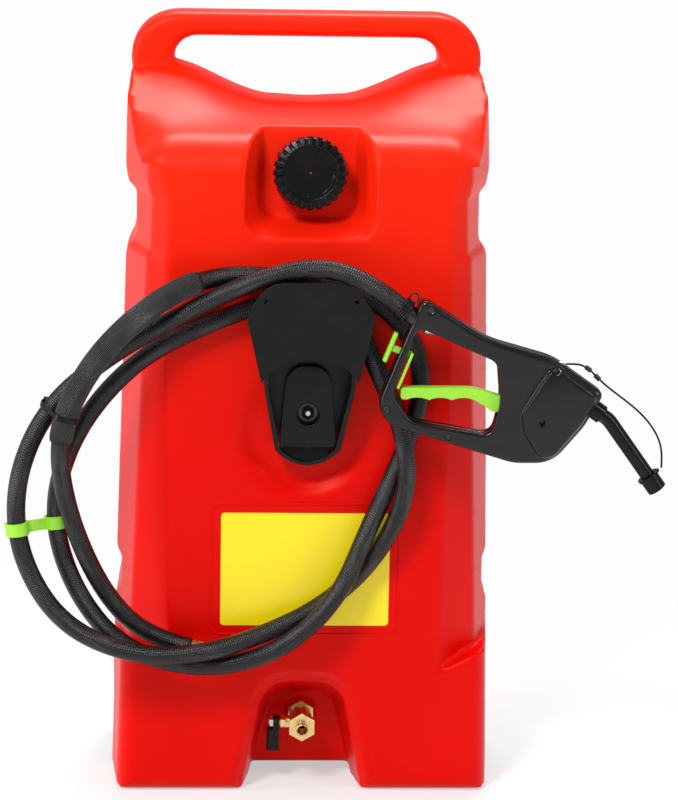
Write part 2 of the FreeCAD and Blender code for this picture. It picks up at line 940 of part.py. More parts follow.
def packing_nut():
    nut = hexagon(beside_valve(stem_boss_end), beside_valve(packing_nut_end), 2 * packing_radius)
    return nut.cut(rod(beside_valve(0), beside_valve(stem_end), stem_radius + stem_fit))


def valve_lever():
    # The lever: a hub on the stem, cranked outwards to a flat grip that hangs down when shut.
    hub_end = packing_nut_end + lever_gap + lever_hub
    start = packing_nut_end + lever_gap
    half = lever_width / 2
    low = valve_height - lever_drop
    grip_top = valve_height - half - 1.5
    hub = block(
        -hub_end, -start, ball_depth - half, ball_depth + half, grip_top - 2, valve_height + half
    )
    grip = block(-hub_end - lever_crank, -start, ball_depth - half, ball_depth + half, low, grip_top)

    def long_edges(edge):
        return edge.BoundBox.ZLength > 10

    def hub_edges(edge):
        return edge.BoundBox.XLength > lever_hub - 1 and edge.BoundBox.ZMin > valve_height

    lever = soften(hub, 3, hub_edges).fuse(soften(grip, 2.5, long_edges))
    return lever.cut(rod(beside_valve(0), beside_valve(stem_end + 20), stem_radius + snug))


def lever_nut():
    start = packing_nut_end + lever_gap + lever_hub
    nut = hexagon(beside_valve(start), beside_valve(start + lever_nut_thick), 2 * packing_radius - 1)
    return nut.cut(rod(beside_valve(0), beside_valve(stem_end + 10), stem_radius + snug))


def outlet_nipple():
    body = hexagon(on_valve(valve_front - nipple_hex), on_valve(valve_front), nipple_flats)
    tip = rod(on_valve(nipple_tip), on_valve(valve_front - nipple_hex), nipple_radius)
    tip = tip.makeChamfer(1, [edge for edge in tip.Edges if edge.BoundBox.YMax < front_y + nipple_tip + 0.1])
    spigot = rod(on_valve(valve_front), on_valve(ball_depth - seat_end()), seat_radius)
    return body.fuse([tip, spigot]).cut(rod(on_valve(0), on_valve(ball_depth), valve_bore))


# ---- Axle and wheels ----


def turned(corners, x_side):
    # A turned part on the axle line from (x, radius, rounding) corners.
    axle_line = spot(0, wheel_depth, wheel_radius)
    face = Part.Face(outline(corners, lambda x, r: axle_line + vector(x_side * x, 0, r)))
    return face.revolve(axle_line, vector(1, 0, 0), 360)


def axle():
    end = axle_end
    return rod(spot(-end, wheel_depth, wheel_radius), spot(end, wheel_depth, wheel_radius), axle_radius)


def wheel_rim(side):
    outer = wheel_outer_face
    inner = outer - wheel_width
    middle = (outer + inner) / 2
    bore = axle_radius + axle_fit
    section = [(inner, bore, 0), (outer, bore, 0), (outer, hub_radius, 1.5), (inner, hub_radius, 1.5)]
    hub = turned(section, side)
    low = rim_radius - rim_thick
    ring_half = wheel_width / 2 - 1.5
    ring_corners = [
        (middle - ring_half, rim_radius, 0),
        (middle - ring_half, low, 2),
        (middle + ring_half, low, 2),
        (middle + ring_half, rim_radius, 0),
    ]
    rim = hub.fuse(turned(ring_corners, side))
    hub_centre = spot(side * middle, wheel_depth, wheel_radius)
    for i in range(spoke_count):
        spoke = Part.makeBox(spoke_thick, spoke_width, low - hub_radius + 3)
        spoke.translate(vector(-spoke_thick / 2, -spoke_width / 2, hub_radius - 1.5))
        spoke.rotate(vector(0, 0, 0), vector(1, 0, 0), 360 * i / spoke_count)
        spoke.translate(hub_centre)
        rim = rim.fuse(spoke)
    return rim


def wheel_tyre(side):
    outer = wheel_outer_face
    inner = outer - wheel_width
    corners = [
        (inner, rim_radius, 0),
        (outer, rim_radius, 0),
        (outer, wheel_radius, tyre_shoulder),
        (inner, wheel_radius, tyre_shoulder),
    ]
    tyre = turned(corners, side)
    middle = (outer + inner) / 2
    for place in (-tread_spread, tread_spread):
        low = wheel_radius - tread_deep
        groove = [(middle + place - 1.2, low, 0), (middle + place + 1.2, low, 0)]
        groove += [(middle + place + 1.2, wheel_radius + 1, 0), (middle + place - 1.2, wheel_radius + 1, 0)]
        tyre = tyre.cut(turned(groove, side))
    return tyre


def wheel_washers():
    # Spacers between the wells' inner walls and the hubs.
    washers = []
    start = wheel_outer_face - wheel_width - well_clearance / 2
    end = wheel_outer_face - wheel_width - washer_gap
    for side in (-1, 1):
        first = spot(side * start, wheel_depth, wheel_radius)
        last = spot(side * end, wheel_depth, wheel_radius)
        washers.append(pipe(first, last, axle_radius + 6, axle_radius + snug))
    return Part.makeCompound(washers)


def axle_caps():
    # Pressed caps that keep the wheels on.
    caps = []
    for side in (-1, 1):
        start = spot(side * (wheel_outer_face + washer_gap), wheel_depth, wheel_radius)
        end = spot(side * (axle_end + 1.5), wheel_depth, wheel_radius)
        cap = rod(start, end, axle_radius + 4)
        caps.append(cap.cut(rod(start, spot(side * axle_end, wheel_depth, wheel_radius), axle_radius + snug)))
    return Part.makeCompound(caps)


def axle_clamps():
    # Two saddles that hold the axle in its groove under the tank.
    clamps = []
    for x in (-clamp_place, clamp_place):
        left, right = x - clamp_width / 2, x + clamp_width / 2
        line_start = spot(left, wheel_depth, wheel_radius)
        line_end = spot(right, wheel_depth, wheel_radius)
        reach = clamp_screw_spread + 3 * clamp_screw_radius
        ears = block(
            left, right, wheel_depth - reach, wheel_depth + reach, wheel_radius - clamp_thick, wheel_radius
        )
        saddle = rod(line_start, line_end, axle_radius + snug + clamp_thick)
        depth0, depth1 = wheel_depth - 30, wheel_depth + 30
        above = block(left - 1, right + 1, depth0, depth1, wheel_radius, wheel_radius + 30)
        clamp = ears.fuse(saddle).cut(above).cut(rod(line_start, line_end, axle_radius + snug))
        for side in (-1, 1):
            depth = wheel_depth + side * clamp_screw_spread
            low = spot(x, depth, wheel_radius - clamp_thick - 1)
            clamp = clamp.cut(rod(low, spot(x, depth, wheel_radius + 1), clamp_screw_radius + snug))
        clamps.append(clamp)
    return Part.makeCompound(clamps)


def clamp_screws():
    screws = []
    for x, depth in clamp_screw_places():
        seat = spot(x, depth, wheel_radius - clamp_thick)
        head = rod(seat - vector(0, 0, screw_head_thick), seat, 2 * clamp_screw_radius)
        tip = spot(x, depth, wheel_radius + clamp_screw_long - 1)
        screws.append(head.fuse(rod(seat, tip, clamp_screw_radius)))
    return Part.makeCompound(screws)


# ---- Hose ----

# The hose's route as (x, depth, z), from the nozzle, twice and a half round the hook, to its coupling.
hose_route = [
    (106.5, -58.3, 564.4),
    (67, -54, 598),
    (7, -41, 615),
    (-66, -37, 595),
    (-146, -34, 554),
    (-219, -33, 511),
    (-286, -33, 453),
    (-320, -44, 374),
    (-316, -46, 290),
    (-270, -54, 213),
    (-189, -58, 178),
    (-111, -50, 179),
    (-48, -28, 194),
    (15, -12.5, 220),
    (72, -13, 270),
    (112, -33, 354),
    (104, -32, 432),
    (74, -30, 497),
    (44, -22, 563),
    (-22, -12.5, 577),
    (-103, -12.5, 547),
    (-189, -12.5, 504),
    (-256, -14, 424),
    (-282, -20, 334),
    (-258, -26, 247),
    (-203, -35, 179),
    (-116, -35, 155),
    (-32, -37, 174),
    (35, -38, 236),
    (70, -24, 321),
    (109, -11.5, 405),
    (128, -12.5, 482),
    (105, -12.5, 547),
    (43, -12.5, 586),
    (-33, -12.5, 596),
    (-106, -14, 598),
    (-171, -58, 575),
    (-235, -60, 512),
    (-274, -56, 431),
    (-264, -42, 340),
    (-225, -22, 241),
    (-175, -13, 187),
    (-127, -13, 175),
]

# The thin tether of the spout's cap as (x, z), in the nozzle's middle plane.
tether_route = [
    (277, 511),
    (289, 512),
    (301, 507),
    (311, 497),
    (323, 486),
    (338, 475),
    (355, 462),
    (370, 447),
    (381, 430),
    (386, 412),
    (385.5, 396),
]


def cord_edges(points, name):
    # Straight runs with arcs as large as two neighbouring runs allow; prints the radii.
    runs = [(points[i + 1] - points[i]).Length for i in range(len(points) - 1)]
    radii = [0]
    for i in range(1, len(points) - 1):
        turn = (points[i] - points[i - 1]).getAngle(points[i + 1] - points[i])
        radii.append(arc_share * min(runs[i - 1], runs[i]) / math.tan(turn / 2))
    print(name, "radii", [round(radius) for radius in radii[1:]])
    return rounded_path(points, radii + [0], False)


def part_of(edges, start, end):
    # The stretch of a path between two distances along it.
    pieces = []
    done = 0
    for edge in edges:
        low, high = max(start - done, 0), min(end - done, edge.Length)
        if high - low > 1e-3:
            first, last = edge.getParameterByLength(low), edge.getParameterByLength(high)
            pieces.append(edge.Curve.toShape(first, last))
        done += edge.Length
    return pieces


def at(edges, distance):
    # The place and the direction at a distance along a path.
    piece = part_of(edges, distance, distance + 0.5)[0]
    start = piece.valueAt(piece.FirstParameter)
    return start, (piece.valueAt(piece.LastParameter) - start).normalize()


def tube(edges, radius):
    wire = Part.Wire(edges)
    start = edges[0].valueAt(edges[0].FirstParameter)
    along = edges[0].tangentAt(edges[0].FirstParameter)
    ring = Part.Wire(Part.makeCircle(radius, start, along))
    return wire.makePipeShell([ring], True, True)


def hose_path():
    return cord_edges([spot(x, depth, z) for x, depth, z in hose_route], "hose")


def checked_tube(edges, radius, name):
    body = tube(edges, radius)
    length = sum(edge.Length for edge in edges)
    share = body.Volume / (math.pi * radius**2 * length)
    print(name, "length", round(length), "volume over section times length", round(share, 4))
    return body


def hose():
    return checked_tube(hose_edges, hose_radius, "hose")


def hose_sleeve():
    edges = part_of(hose_edges, sleeve_start, sleeve_start + sleeve_length)
    return tube(edges, sleeve_outer).cut(tube(edges, hose_radius + sleeve_gap))


def nearest_strand(place, low, high):
    # The distance along the hose, between two limits, where it passes nearest to a place.
    best = low
    steps = 60
    for i in range(steps + 1):
        distance = low + (high - low) * i / steps
        if (at(hose_edges, distance)[0] - place).Length < (at(hose_edges, best)[0] - place).Length:
            best = distance
    return best


def hose_tie():
    # A cable tie round the sleeve and the strand beside it, with its head on the outer side.
    first, along = at(hose_edges, tie_place)
    second, other = at(hose_edges, nearest_strand(first, 300, 700))
    across = second - first
    across = across - along * across.dot(along)
    second = first + across
    spread = across.Length
    way = across.normalize()
    side = along.cross(way).normalize()
    half = along * (tie_width / 2)
    outer_first, outer_second = sleeve_outer + tie_gap, hose_radius + tie_slack

    def band(extra):
        big, small = outer_first + extra, outer_second + extra
        lean = (big - small) / spread
        rise = math.sqrt(1 - lean**2)
        points = []
        sides = ((first, big, 1), (second, small, 1), (second, small, -1), (first, big, -1))
        for centre, radius, sign in sides:
            points.append(centre + way * (radius * lean) + side * (sign * radius * rise) - half)
        points.append(points[0])
        middle = Part.Face(Part.makePolygon(points)).extrude(half * 2)
        ends = [rod(first - half, first + half, big), rod(second - half, second + half, small)]
        return middle.fuse(ends)

    ring = band(tie_thick).cut(band(0))
    head = Part.makeBox(7, 5, tie_width + 1, vector(-3.5, 0, -(tie_width + 1) / 2))
    turn = FreeCAD.Rotation(along.cross(way), way, along, "ZYX")
    head.Placement = FreeCAD.Placement(second + way * (outer_second + tie_thick - 0.3), turn)
    return ring.fuse(head)


def hose_clip():
    # A moulded clip: a ring on each of two strands, and the web between them.
    first, along = at(hose_edges, clip_place)
    second_place = nearest_strand(first, 1500, 2100)
    second, other = at(hose_edges, second_place)
    rings = []
    holes = []
    for centre, way in ((first, along), (second, other)):
        half = way * (clip_long / 2)
        rings.append(rod(centre - half, centre + half, hose_radius + ring_gap + clip_wall))
        holes.append(rod(centre - half * 2, centre + half * 2, hose_radius + ring_gap))
    across = second - first
    side = along.cross(across).normalize()
    points = []
    for centre, sign in ((first, 1), (second, 1), (second, -1), (first, -1)):
        points.append(centre + side * (sign * clip_wall) - along * (clip_long / 2 - 1))
    points.append(points[0])
    web = Part.Face(Part.makePolygon(points)).extrude(along * (clip_long - 2))
    clip = rings[0].fuse([rings[1], web])
    return clip.cut(holes[0]).cut(holes[1])


# ---- Coupling at the hose's free end ----


def coupling_line():
    end = spot(*hose_route[-1])
    return end, (end - spot(*hose_route[-2])).normalize()


def along_coupling(distance):
    end, way = coupling_line()
    return end + way * distance


def coupling_stem():
    body = rod(along_coupling(0), along_coupling(stem_collar), hose_radius)
    body = body.fuse(hexagon(along_coupling(stem_collar), along_coupling(stem_hex_end), coupling_flats))
    body = body.fuse(rod(along_coupling(stem_hex_end), along_coupling(coupling_long), coupling_neck))
    flange = rod(along_coupling(coupling_long), along_coupling(coupling_long + 2), coupling_neck + 1.5)
    return body.fuse(flange).cut(rod(along_coupling(4), along_coupling(coupling_long + 3), valve_bore))


def coupling_nut():
    start = along_coupling(stem_hex_end + washer_gap)
    nut = hexagon(start, along_coupling(coupling_long + nut_overhang), nut_flats)
    below = start - (along_coupling(1) - along_coupling(0))
    nut = nut.cut(rod(below, along_coupling(coupling_long + 20), coupling_neck + snug))
    room = rod(along_coupling(coupling_long - 0.3), along_coupling(coupling_long + 20), nipple_radius + 1.7)
    return nut.cut(room)


# ---- Nozzle ----


def in_nozzle(x, z, offset=0.0):
    return spot(x, nozzle_depth + offset, z)


def slab(corners, offset, thick):
    wire = outline(corners, lambda x, z: in_nozzle(x, z, offset))
    return Part.Face(wire).extrude(vector(0, thick, 0))


def body_corners():
    return [
        (119, 585, 7),
        (190, 540, 120),
        (262, 520, 70),
        (319, 480, 7),
        (298, 443, 60),
        (264, 402, 38),
        (222, 402, 60),
        (66, 450, 28),
    ]


def window_corners():
    return [
        (113, 553, 10),
        (202, 514, 16),
        (206, 470, 80),
        (197, 433, 12),
        (108, 449, 22),
        (89, 478, 12),
        (101, 512, 20),
    ]


def pump_corners():
    return [
        (262, 513, 12),
        (229, 459, 10),
        (232, 438, 8),
        (247, 413, 12),
        (262, 408, 14),
        (294, 447, 40),
        (312, 479, 10),
    ]


def flow_points():
    into_spout = (in_nozzle(*spout_bend) - in_nozzle(*spout_start)).normalize()
    last = in_nozzle(*spout_start)
    start = inlet_end() + inlet_way() * 5
    return [start, in_nozzle(160, 544), in_nozzle(216, 519), last - into_spout * 32, last]


def inlet_way():
    return (spot(*hose_route[0]) - spot(*hose_route[1])).normalize()


def inlet_end():
    return spot(*hose_route[0]) + inlet_way() * inlet_long


def spout_edges():
    points = [in_nozzle(*spout_start), in_nozzle(*spout_bend), in_nozzle(*spout_tip)]
    return rounded_path(points, [0, spout_bend_radius, 0], False)


def spout_way():
    return (in_nozzle(*spout_tip) - in_nozzle(*spout_bend)).normalize()


def rear_bar(across, along, offset=0.0):
    # A place by the grip's rear edge: across it inwards, and up along it.
    low, high = vector(66, 0, 450), vector(119, 0, 585)
    up = (high - low).normalize()
    inward = vector(up.z, 0, -up.x)
    edge = low + up * ((latch_height - low.z) / up.z)
    place = edge + inward * across + up * along
    return in_nozzle(place.x, place.z, offset)


def bar_block(across0, across1, along0, along1, offset0, offset1):
    corners = [(across0, along0), (across1, along0), (across1, along1), (across0, along1), (across0, along0)]
    points = [rear_bar(across, along, offset0) for across, along in corners]
    return Part.Face(Part.makePolygon(points)).extrude(vector(0, offset1 - offset0, 0))


def screw_spots():
    return [(82, 463), (128, 572), (150, 432), (251, 450), (264, 506)]


def nozzle_body():
    # Both halves of the nozzle's case in one, with every room inside it cut out.
    def rim(edge):
        return edge.BoundBox.YLength < 0.01

    frame = soften(slab(body_corners(), -grip_half, 2 * grip_half), nozzle_round, rim)
    hole = slab(window_corners(), -grip_half - 1, 2 * grip_half + 2)
    frame = frame.cut(hole)
    pump = soften(slab(pump_corners(), -pump_half, 2 * pump_half), pump_round, rim)
    body = frame.fuse(pump)
    pivot_x, pivot_z = lever_pivot
    slot_half = trigger_half + trigger_gap
    slot = rod(in_nozzle(pivot_x, pivot_z, -slot_half), in_nozzle(pivot_x, pivot_z, slot_half), hub_room)
    mouth = slab(
        [(195, 450, 0), (pivot_x, pivot_z - hub_room, 0), (pivot_x, pivot_z + hub_room, 0), (195, 492, 0)],
        -slot_half,
        2 * slot_half,
    )
    spring_room = rod(
        in_nozzle(pivot_x, pivot_z, -slot_half - spring_room_deep),
        in_nozzle(pivot_x, pivot_z),
        spring_room_radius,
    )
    pin_bore = rod(
        in_nozzle(pivot_x, pivot_z, -pin_half), in_nozzle(pivot_x, pivot_z, pin_half), pin_radius + pin_fit
    )
    latch_slot = bar_block(
        -1,
        bar_thick + 6,
        -latch_stem_half - latch_play,
        latch_stem_half + latch_play,
        -latch_stem_deep - latch_play,
        latch_stem_deep + latch_play,
    )
    inlet_hole = rod(inlet_end() - inlet_way() * inlet_long, inlet_end(), inlet_radius + snug)
    channel = tube(flow_edges(), flow_radius + snug)
    spout_hole = tube(spout_edges(), spout_collar_radius + snug)
    anchor_x, anchor_z = tether_route[0]
    anchor_start = in_nozzle(anchor_x - anchor_long, anchor_z)
    anchor = rod(anchor_start, in_nozzle(anchor_x + 1, anchor_z), anchor_radius + snug)
    for room in (slot, mouth, spring_room, pin_bore, latch_slot, inlet_hole, channel, spout_hole, anchor):
        body = body.cut(room)
    for x, z in screw_spots():
        body = body.cut(rod(in_nozzle(x, z, -grip_half), in_nozzle(x, z, screw_tip), screw_radius + snug))
        head = rod(in_nozzle(x, z, -pump_half - 1), in_nozzle(x, z, -screw_seat), screw_head_radius + 0.3)
        body = body.cut(head)
    return body


def nozzle_front_shell():
    return nozzle_case.cut(block(0, 400, nozzle_depth, nozzle_depth + 50, 300, 700))


def nozzle_back_shell():
    return nozzle_case.common(block(0, 400, nozzle_depth, nozzle_depth + 50, 300, 700))


def nozzle_screws():
    screws = []
    for x, z in screw_spots():
        seat = in_nozzle(x, z, -screw_seat)
        head = rod(in_nozzle(x, z, -screw_seat - screw_head_thick), seat, screw_head_radius)
        screws.append(head.fuse(rod(seat, in_nozzle(x, z, screw_tip - 1), screw_radius)))
    return Part.makeCompound(screws)


def hose_inlet():
    start = inlet_end() - inlet_way() * inlet_long
    body = rod(start, inlet_end(), inlet_radius)
    return body.cut(rod(start + inlet_way() * 2, inlet_end() + inlet_way(), flow_radius - flow_wall))


def coil(start, way, inner, wire, turns):
    # Close turns of wire round a line, as one ribbed ring: a row of blunt ridges, turned.
    side = way.cross(vector(0, 1, 0))
    if side.Length < 0.5:
        side = way.cross(vector(0, 0, 1))
    side.normalize()
    base = inner + wire

    def place(along, radius):
        return start + way * along + side * radius

    points = [place(0, inner), place(0, base)]
    for i in range(turns):
        low, high = 2 * wire * i, 2 * wire * (i + 1)
        points.append(place(low + 0.6 * wire, base + 0.9 * wire))
        points.append(place(high - 0.6 * wire, base + 0.9 * wire))
        points.append(place(high, base))
    points.append(place(2 * wire * turns, inner))
    points.append(points[0])
    return Part.Face(Part.makePolygon(points)).revolve(start, way, 360)


def hose_clamp():
    # A spring-wire clamp: turns of wire round the hose's end, and the ear that opens them.
    way = inlet_way()
    long = 2 * clamp_wire * clamp_turns
    start = spot(*hose_route[0]) - way * (long + 4)
    clamp = coil(start, way, hose_radius + ring_gap, clamp_wire, clamp_turns)
    side = way.cross(vector(0, 1, 0)).normalize()
    if side.z < 0:
        side = side * -1
    ring_radius = hose_radius + ring_gap + clamp_wire
    middle = start + way * (long / 2)
    ear_place = middle + side * (ring_radius + clamp_ear)
    ear = Part.makeTorus(clamp_ear, clamp_wire * 0.9, ear_place, vector(0, 1, 0))
    return clamp.fuse(ear)


def flow_edges():
    points = flow_points()
    radii = [0] + [flow_bend] * (len(points) - 2) + [0]
    return rounded_path(points, radii, False)


def flow_tube():
    return tube(flow_edges(), flow_radius).cut(tube(flow_edges(), flow_radius - flow_wall))


def trigger():
    pivot_x, pivot_z = lever_pivot
    corners = [
        (97, 485, 3),
        (178, 485, 60),
        (pivot_x - 4, 475, 3),
        (pivot_x - 4, 459, 2),
        (197, 459, 4),
        (184, 469, 20),
        (150, 471, 60),
        (98, 472, 3),
    ]
    body = slab(corners, -trigger_half, 2 * trigger_half)
    for i in range(finger_scallops):
        x = 116 + i * 25
        low = 472.5 - scallop_radius + scallop_deep
        body = body.cut(rod(in_nozzle(x, low, -20), in_nozzle(x, low, 20), scallop_radius))
    hub_start = in_nozzle(pivot_x, pivot_z, -trigger_half)
    hub = rod(hub_start, in_nozzle(pivot_x, pivot_z, trigger_half), trigger_hub)
    bore = rod(in_nozzle(pivot_x, pivot_z, -20), in_nozzle(pivot_x, pivot_z, 20), pin_radius + pin_fit)
    return body.fuse(hub).cut(bore)


def trigger_pin():
    pivot_x, pivot_z = lever_pivot
    return rod(in_nozzle(pivot_x, pivot_z, -pin_half), in_nozzle(pivot_x, pivot_z, pin_half), pin_radius)


def trigger_spring():
    # The coil of the return spring, on the pin beside the trigger's hub.
    pivot_x, pivot_z = lever_pivot
    start = in_nozzle(pivot_x, pivot_z, -trigger_half - trigger_gap - 2 * spring_wire * spring_turns)
    return coil(start, vector(0, 1, 0), spring_inner, spring_wire, spring_turns)


def latch():
    # The hold-open latch: a button behind the grip, a stem through it, an arm beside the trigger.
    head = bar_block(-latch_head_out, -latch_travel - 4.2, -latch_head_half, latch_head_half, -5, 5)

    def long_edges(edge):
        return edge.BoundBox.YLength < 0.01 and edge.Length > 10

    head = soften(head, 1.2, long_edges)
    stem = bar_block(
        -latch_travel - 5,
        arm_start + arm_thick,
        -latch_stem_half,
        latch_stem_half,
        -latch_stem_deep,
        latch_stem_deep,
    )
    step = bar_block(
        arm_start, arm_start + arm_thick, -latch_stem_half, latch_stem_half, -arm_offset - arm_deep, 0
    )
    arm = bar_block(
        arm_start, arm_start + arm_thick, -arm_drop, latch_stem_half, -arm_offset - arm_deep, -arm_offset
    )
    return head.fuse([stem, step, arm])


def spout():
    edges = spout_edges()
    body = tube(edges, spout_radius)
    collar = tube(part_of(edges, 0, spout_collar_long), spout_collar_radius)
    return body.fuse(collar).cut(tube(edges, spout_radius - spout_wall))


def on_spout(distance, out=0.0):
    # Measured from the spout's tip along its axis, and out towards the tether's side.
    side = vector(-spout_way().z, 0, spout_way().x)
    return in_nozzle(*spout_tip) + spout_way() * distance + side * out


def spout_cap():
    body = rod(on_spout(-spout_cap_grip), on_spout(spout_cap_long - spout_cap_grip), spout_cap_radius)
    body = body.fuse(rod(on_spout(-spout_cap_grip), on_spout(3 - spout_cap_grip), spout_cap_radius + 1.7))
    lug_low = on_spout(-spout_cap_grip, spout_cap_radius)
    body = body.fuse(rod(lug_low, on_spout(3 - spout_cap_grip, spout_cap_radius), cap_lug_radius))
    room = rod(on_spout(-spout_cap_grip - 1), on_spout(cap_fit), spout_radius + snug)
    return body.cut(room)


def tether_anchor():
    x, z = tether_route[0]
    return rod(in_nozzle(x - anchor_long, z), in_nozzle(x, z), anchor_radius)


def tether_edges():
    return cord_edges([in_nozzle(x, z) for x, z in tether_route], "tether")


def cap_tether():
    return checked_tube(tether_edges(), tether_radius, "tether")


def tether_ferrules():
    ferrules = []
    edges = tether_edges()
    for distance in ferrule_places:
        stretch = part_of(edges, distance, distance + ferrule_long)
        ferrules.append(tube(stretch, tether_radius + 1.5).cut(tube(stretch, tether_radius + snug)))
    return Part.makeCompound(ferrules)


hose_edges = hose_path()
nozzle_case = nozzle_body()

parts = {
    "tank_shell": tank_shell(),
    "filler_cap": filler_cap(),
    "cap_gasket": cap_gasket(),
    "label": label(),
    "hose_hook": hose_hook(),
    "hook_washer": hook_washer(),
    "hook_bolt": hook_bolt(),
    "hook_insert": hook_insert(),
    "outlet_bushing": outlet_bushing(),
    "valve_body": valve_body(),
    "valve_seats": valve_seats(),
    "valve_ball": valve_ball(),
    "valve_stem": valve_stem(),
    "stem_packing": stem_packing(),
    "packing_nut": packing_nut(),
    "valve_lever": valve_lever(),
    "lever_nut": lever_nut(),
    "outlet_nipple": outlet_nipple(),
    "axle": axle(),
    "left_rim": wheel_rim(-1),
    "left_tyre": wheel_tyre(-1),
    "right_rim": wheel_rim(1),
    "right_tyre": wheel_tyre(1),
    "wheel_washers": wheel_washers(),
    "axle_caps": axle_caps(),
    "axle_clamps": axle_clamps(),
    "clamp_screws": clamp_screws(),
    "hose": hose(),
    "hose_sleeve": hose_sleeve(),
    "hose_tie": hose_tie(),
    "hose_clip": hose_clip(),
    "hose_clamp": hose_clamp(),
    "hose_inlet": hose_inlet(),
    "coupling_stem": coupling_stem(),
    "coupling_nut": coupling_nut(),
    "nozzle_front_shell": nozzle_front_shell(),
    "nozzle_back_shell": nozzle_back_shell(),
    "nozzle_screws": nozzle_screws(),
    "flow_tube": flow_tube(),
    "trigger": trigger(),
    "trigger_pin": trigger_pin(),
    "trigger_spring": trigger_spring(),
    "latch": latch(),
    "spout": spout(),
    "spout_cap": spout_cap(),
    "tether_anchor": tether_anchor(),
    "cap_tether": cap_tether(),
    "tether_ferrules": tether_ferrules(),
}

os.makedirs("parts", exist_ok=True)
for name, shape in parts.items():
    shape.exportStep("parts/" + name + ".step")
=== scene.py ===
import json
import math

import bmesh
import bpy
import numpy as np
from mathutils import Matrix, Vector

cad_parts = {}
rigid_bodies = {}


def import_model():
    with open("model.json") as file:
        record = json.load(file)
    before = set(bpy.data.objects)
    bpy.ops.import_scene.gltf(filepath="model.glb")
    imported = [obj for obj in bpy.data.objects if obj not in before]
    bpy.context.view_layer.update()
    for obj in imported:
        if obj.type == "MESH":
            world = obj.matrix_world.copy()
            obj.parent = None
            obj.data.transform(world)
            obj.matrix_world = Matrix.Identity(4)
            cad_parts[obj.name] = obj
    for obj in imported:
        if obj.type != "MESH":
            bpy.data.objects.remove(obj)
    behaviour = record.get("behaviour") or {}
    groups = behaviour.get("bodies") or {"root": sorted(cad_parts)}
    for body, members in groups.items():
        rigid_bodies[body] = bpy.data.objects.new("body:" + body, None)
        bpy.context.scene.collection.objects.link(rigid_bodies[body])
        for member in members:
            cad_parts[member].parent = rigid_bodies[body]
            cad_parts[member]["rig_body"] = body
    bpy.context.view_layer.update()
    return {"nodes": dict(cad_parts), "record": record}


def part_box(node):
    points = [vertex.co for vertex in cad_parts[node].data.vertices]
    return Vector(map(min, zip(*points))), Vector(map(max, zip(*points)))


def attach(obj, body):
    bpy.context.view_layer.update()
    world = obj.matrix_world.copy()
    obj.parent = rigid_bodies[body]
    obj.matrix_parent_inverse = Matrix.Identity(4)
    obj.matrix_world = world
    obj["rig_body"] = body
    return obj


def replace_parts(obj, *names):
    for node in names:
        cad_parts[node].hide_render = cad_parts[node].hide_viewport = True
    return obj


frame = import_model()
nodes = frame["nodes"]
slotOf = {entry["node"]: entry["material_slot"] for entry in frame["record"]["subparts"]}
bodyOf = {node: nodes[node]["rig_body"] for node in nodes}
print("frame loaded:", len(nodes), "nodes")

camera = {
    "elevation": 13.08,  # degrees down
    "yaw": 3.03,  # degrees to the right
    "roll": 1.1,
    "distance": 3.5,
    "aim": (0.0343, -0.0915, 0.4561),
    "focalPixels": 3179,
    "imageHeight": 800,
    "sensor": 24.0,
}


def addCamera(values):
    # Looks at the aim from the distance; the roll turns right and up about the view's line.
    el, yaw, roll = (math.radians(values[key]) for key in ("elevation", "yaw", "roll"))
    forward = Vector((math.sin(yaw) * math.cos(el), math.cos(yaw) * math.cos(el), -math.sin(el)))
    level = Vector((math.cos(yaw), -math.sin(yaw), 0))
    rise = level.cross(forward)
    right = level * math.cos(roll) + rise * math.sin(roll)
    up = rise * math.cos(roll) - level * math.sin(roll)
    place = Vector(values["aim"]) - forward * values["distance"]
    turn = Matrix((right, up, -forward)).transposed().to_4x4()
    data = bpy.data.cameras.new("camera")
    data.sensor_fit = "VERTICAL"
    data.sensor_height = values["sensor"]
    data.lens = values["focalPixels"] / values["imageHeight"] * values["sensor"]
    data.clip_end = 100
    item = bpy.data.objects.new("camera", data)
    item.matrix_world = Matrix.Translation(place) @ turn
    bpy.context.scene.collection.objects.link(item)
    bpy.context.scene.camera = item


addCamera(camera)
print("camera placed")


def linked(item):
    # Puts a new item into the scene.
    bpy.context.scene.collection.objects.link(item)
    return item


def gridPiece(name, points, closed=False, uv=None):
    # A surface from a grid of points, whose columns meet round it; its rows meet too when closed,
    # and otherwise a face shuts each end.
    rows, across = points.shape[:2]
    index = np.arange(rows * across).reshape(rows, across)
    low = index if closed else index[:-1]
    high = np.roll(index, -1, 0)[: len(low)]
    faces = np.stack([low, np.roll(low, -1, 1), np.roll(high, -1, 1), high], -1)
    polygons = faces.reshape(-1, 4).tolist()
    if not closed:
        polygons += [index[0, ::-1].tolist(), index[-1].tolist()]
    mesh = bpy.data.meshes.new(name)
    mesh.from_pydata(points.reshape(-1, 3).tolist(), [], polygons)
    if uv is not None:
        row = np.arange(len(faces))[:, None, None] + np.array([0, 0, 1, 1])
        column = np.arange(across)[None, :, None] + np.array([0, 1, 1, 0])
        corners = uv(*np.broadcast_arrays(row, column)).reshape(-1, 2)
        values = np.zeros((len(mesh.loops), 2), np.float32)
        values[: len(corners)] = corners
        mesh.uv_layers.new(name="UVMap").data.foreach_set("uv", values.ravel())
    mesh.shade_smooth()
    mesh.update()
    return linked(bpy.data.objects.new(name, mesh))


def mergedMesh(node, name):
    # A CAD node's own shape with its loose triangles joined.
    mesh = nodes[node].data.copy()
    mesh.name = name
    mesh.materials.clear()
    while mesh.uv_layers:
        mesh.uv_layers.remove(mesh.uv_layers[0])
    work = bmesh.new()
    work.from_mesh(mesh)
    bmesh.ops.remove_doubles(work, verts=work.verts, dist=2e-6)
    work.to_mesh(mesh)
    work.free()
    return mesh


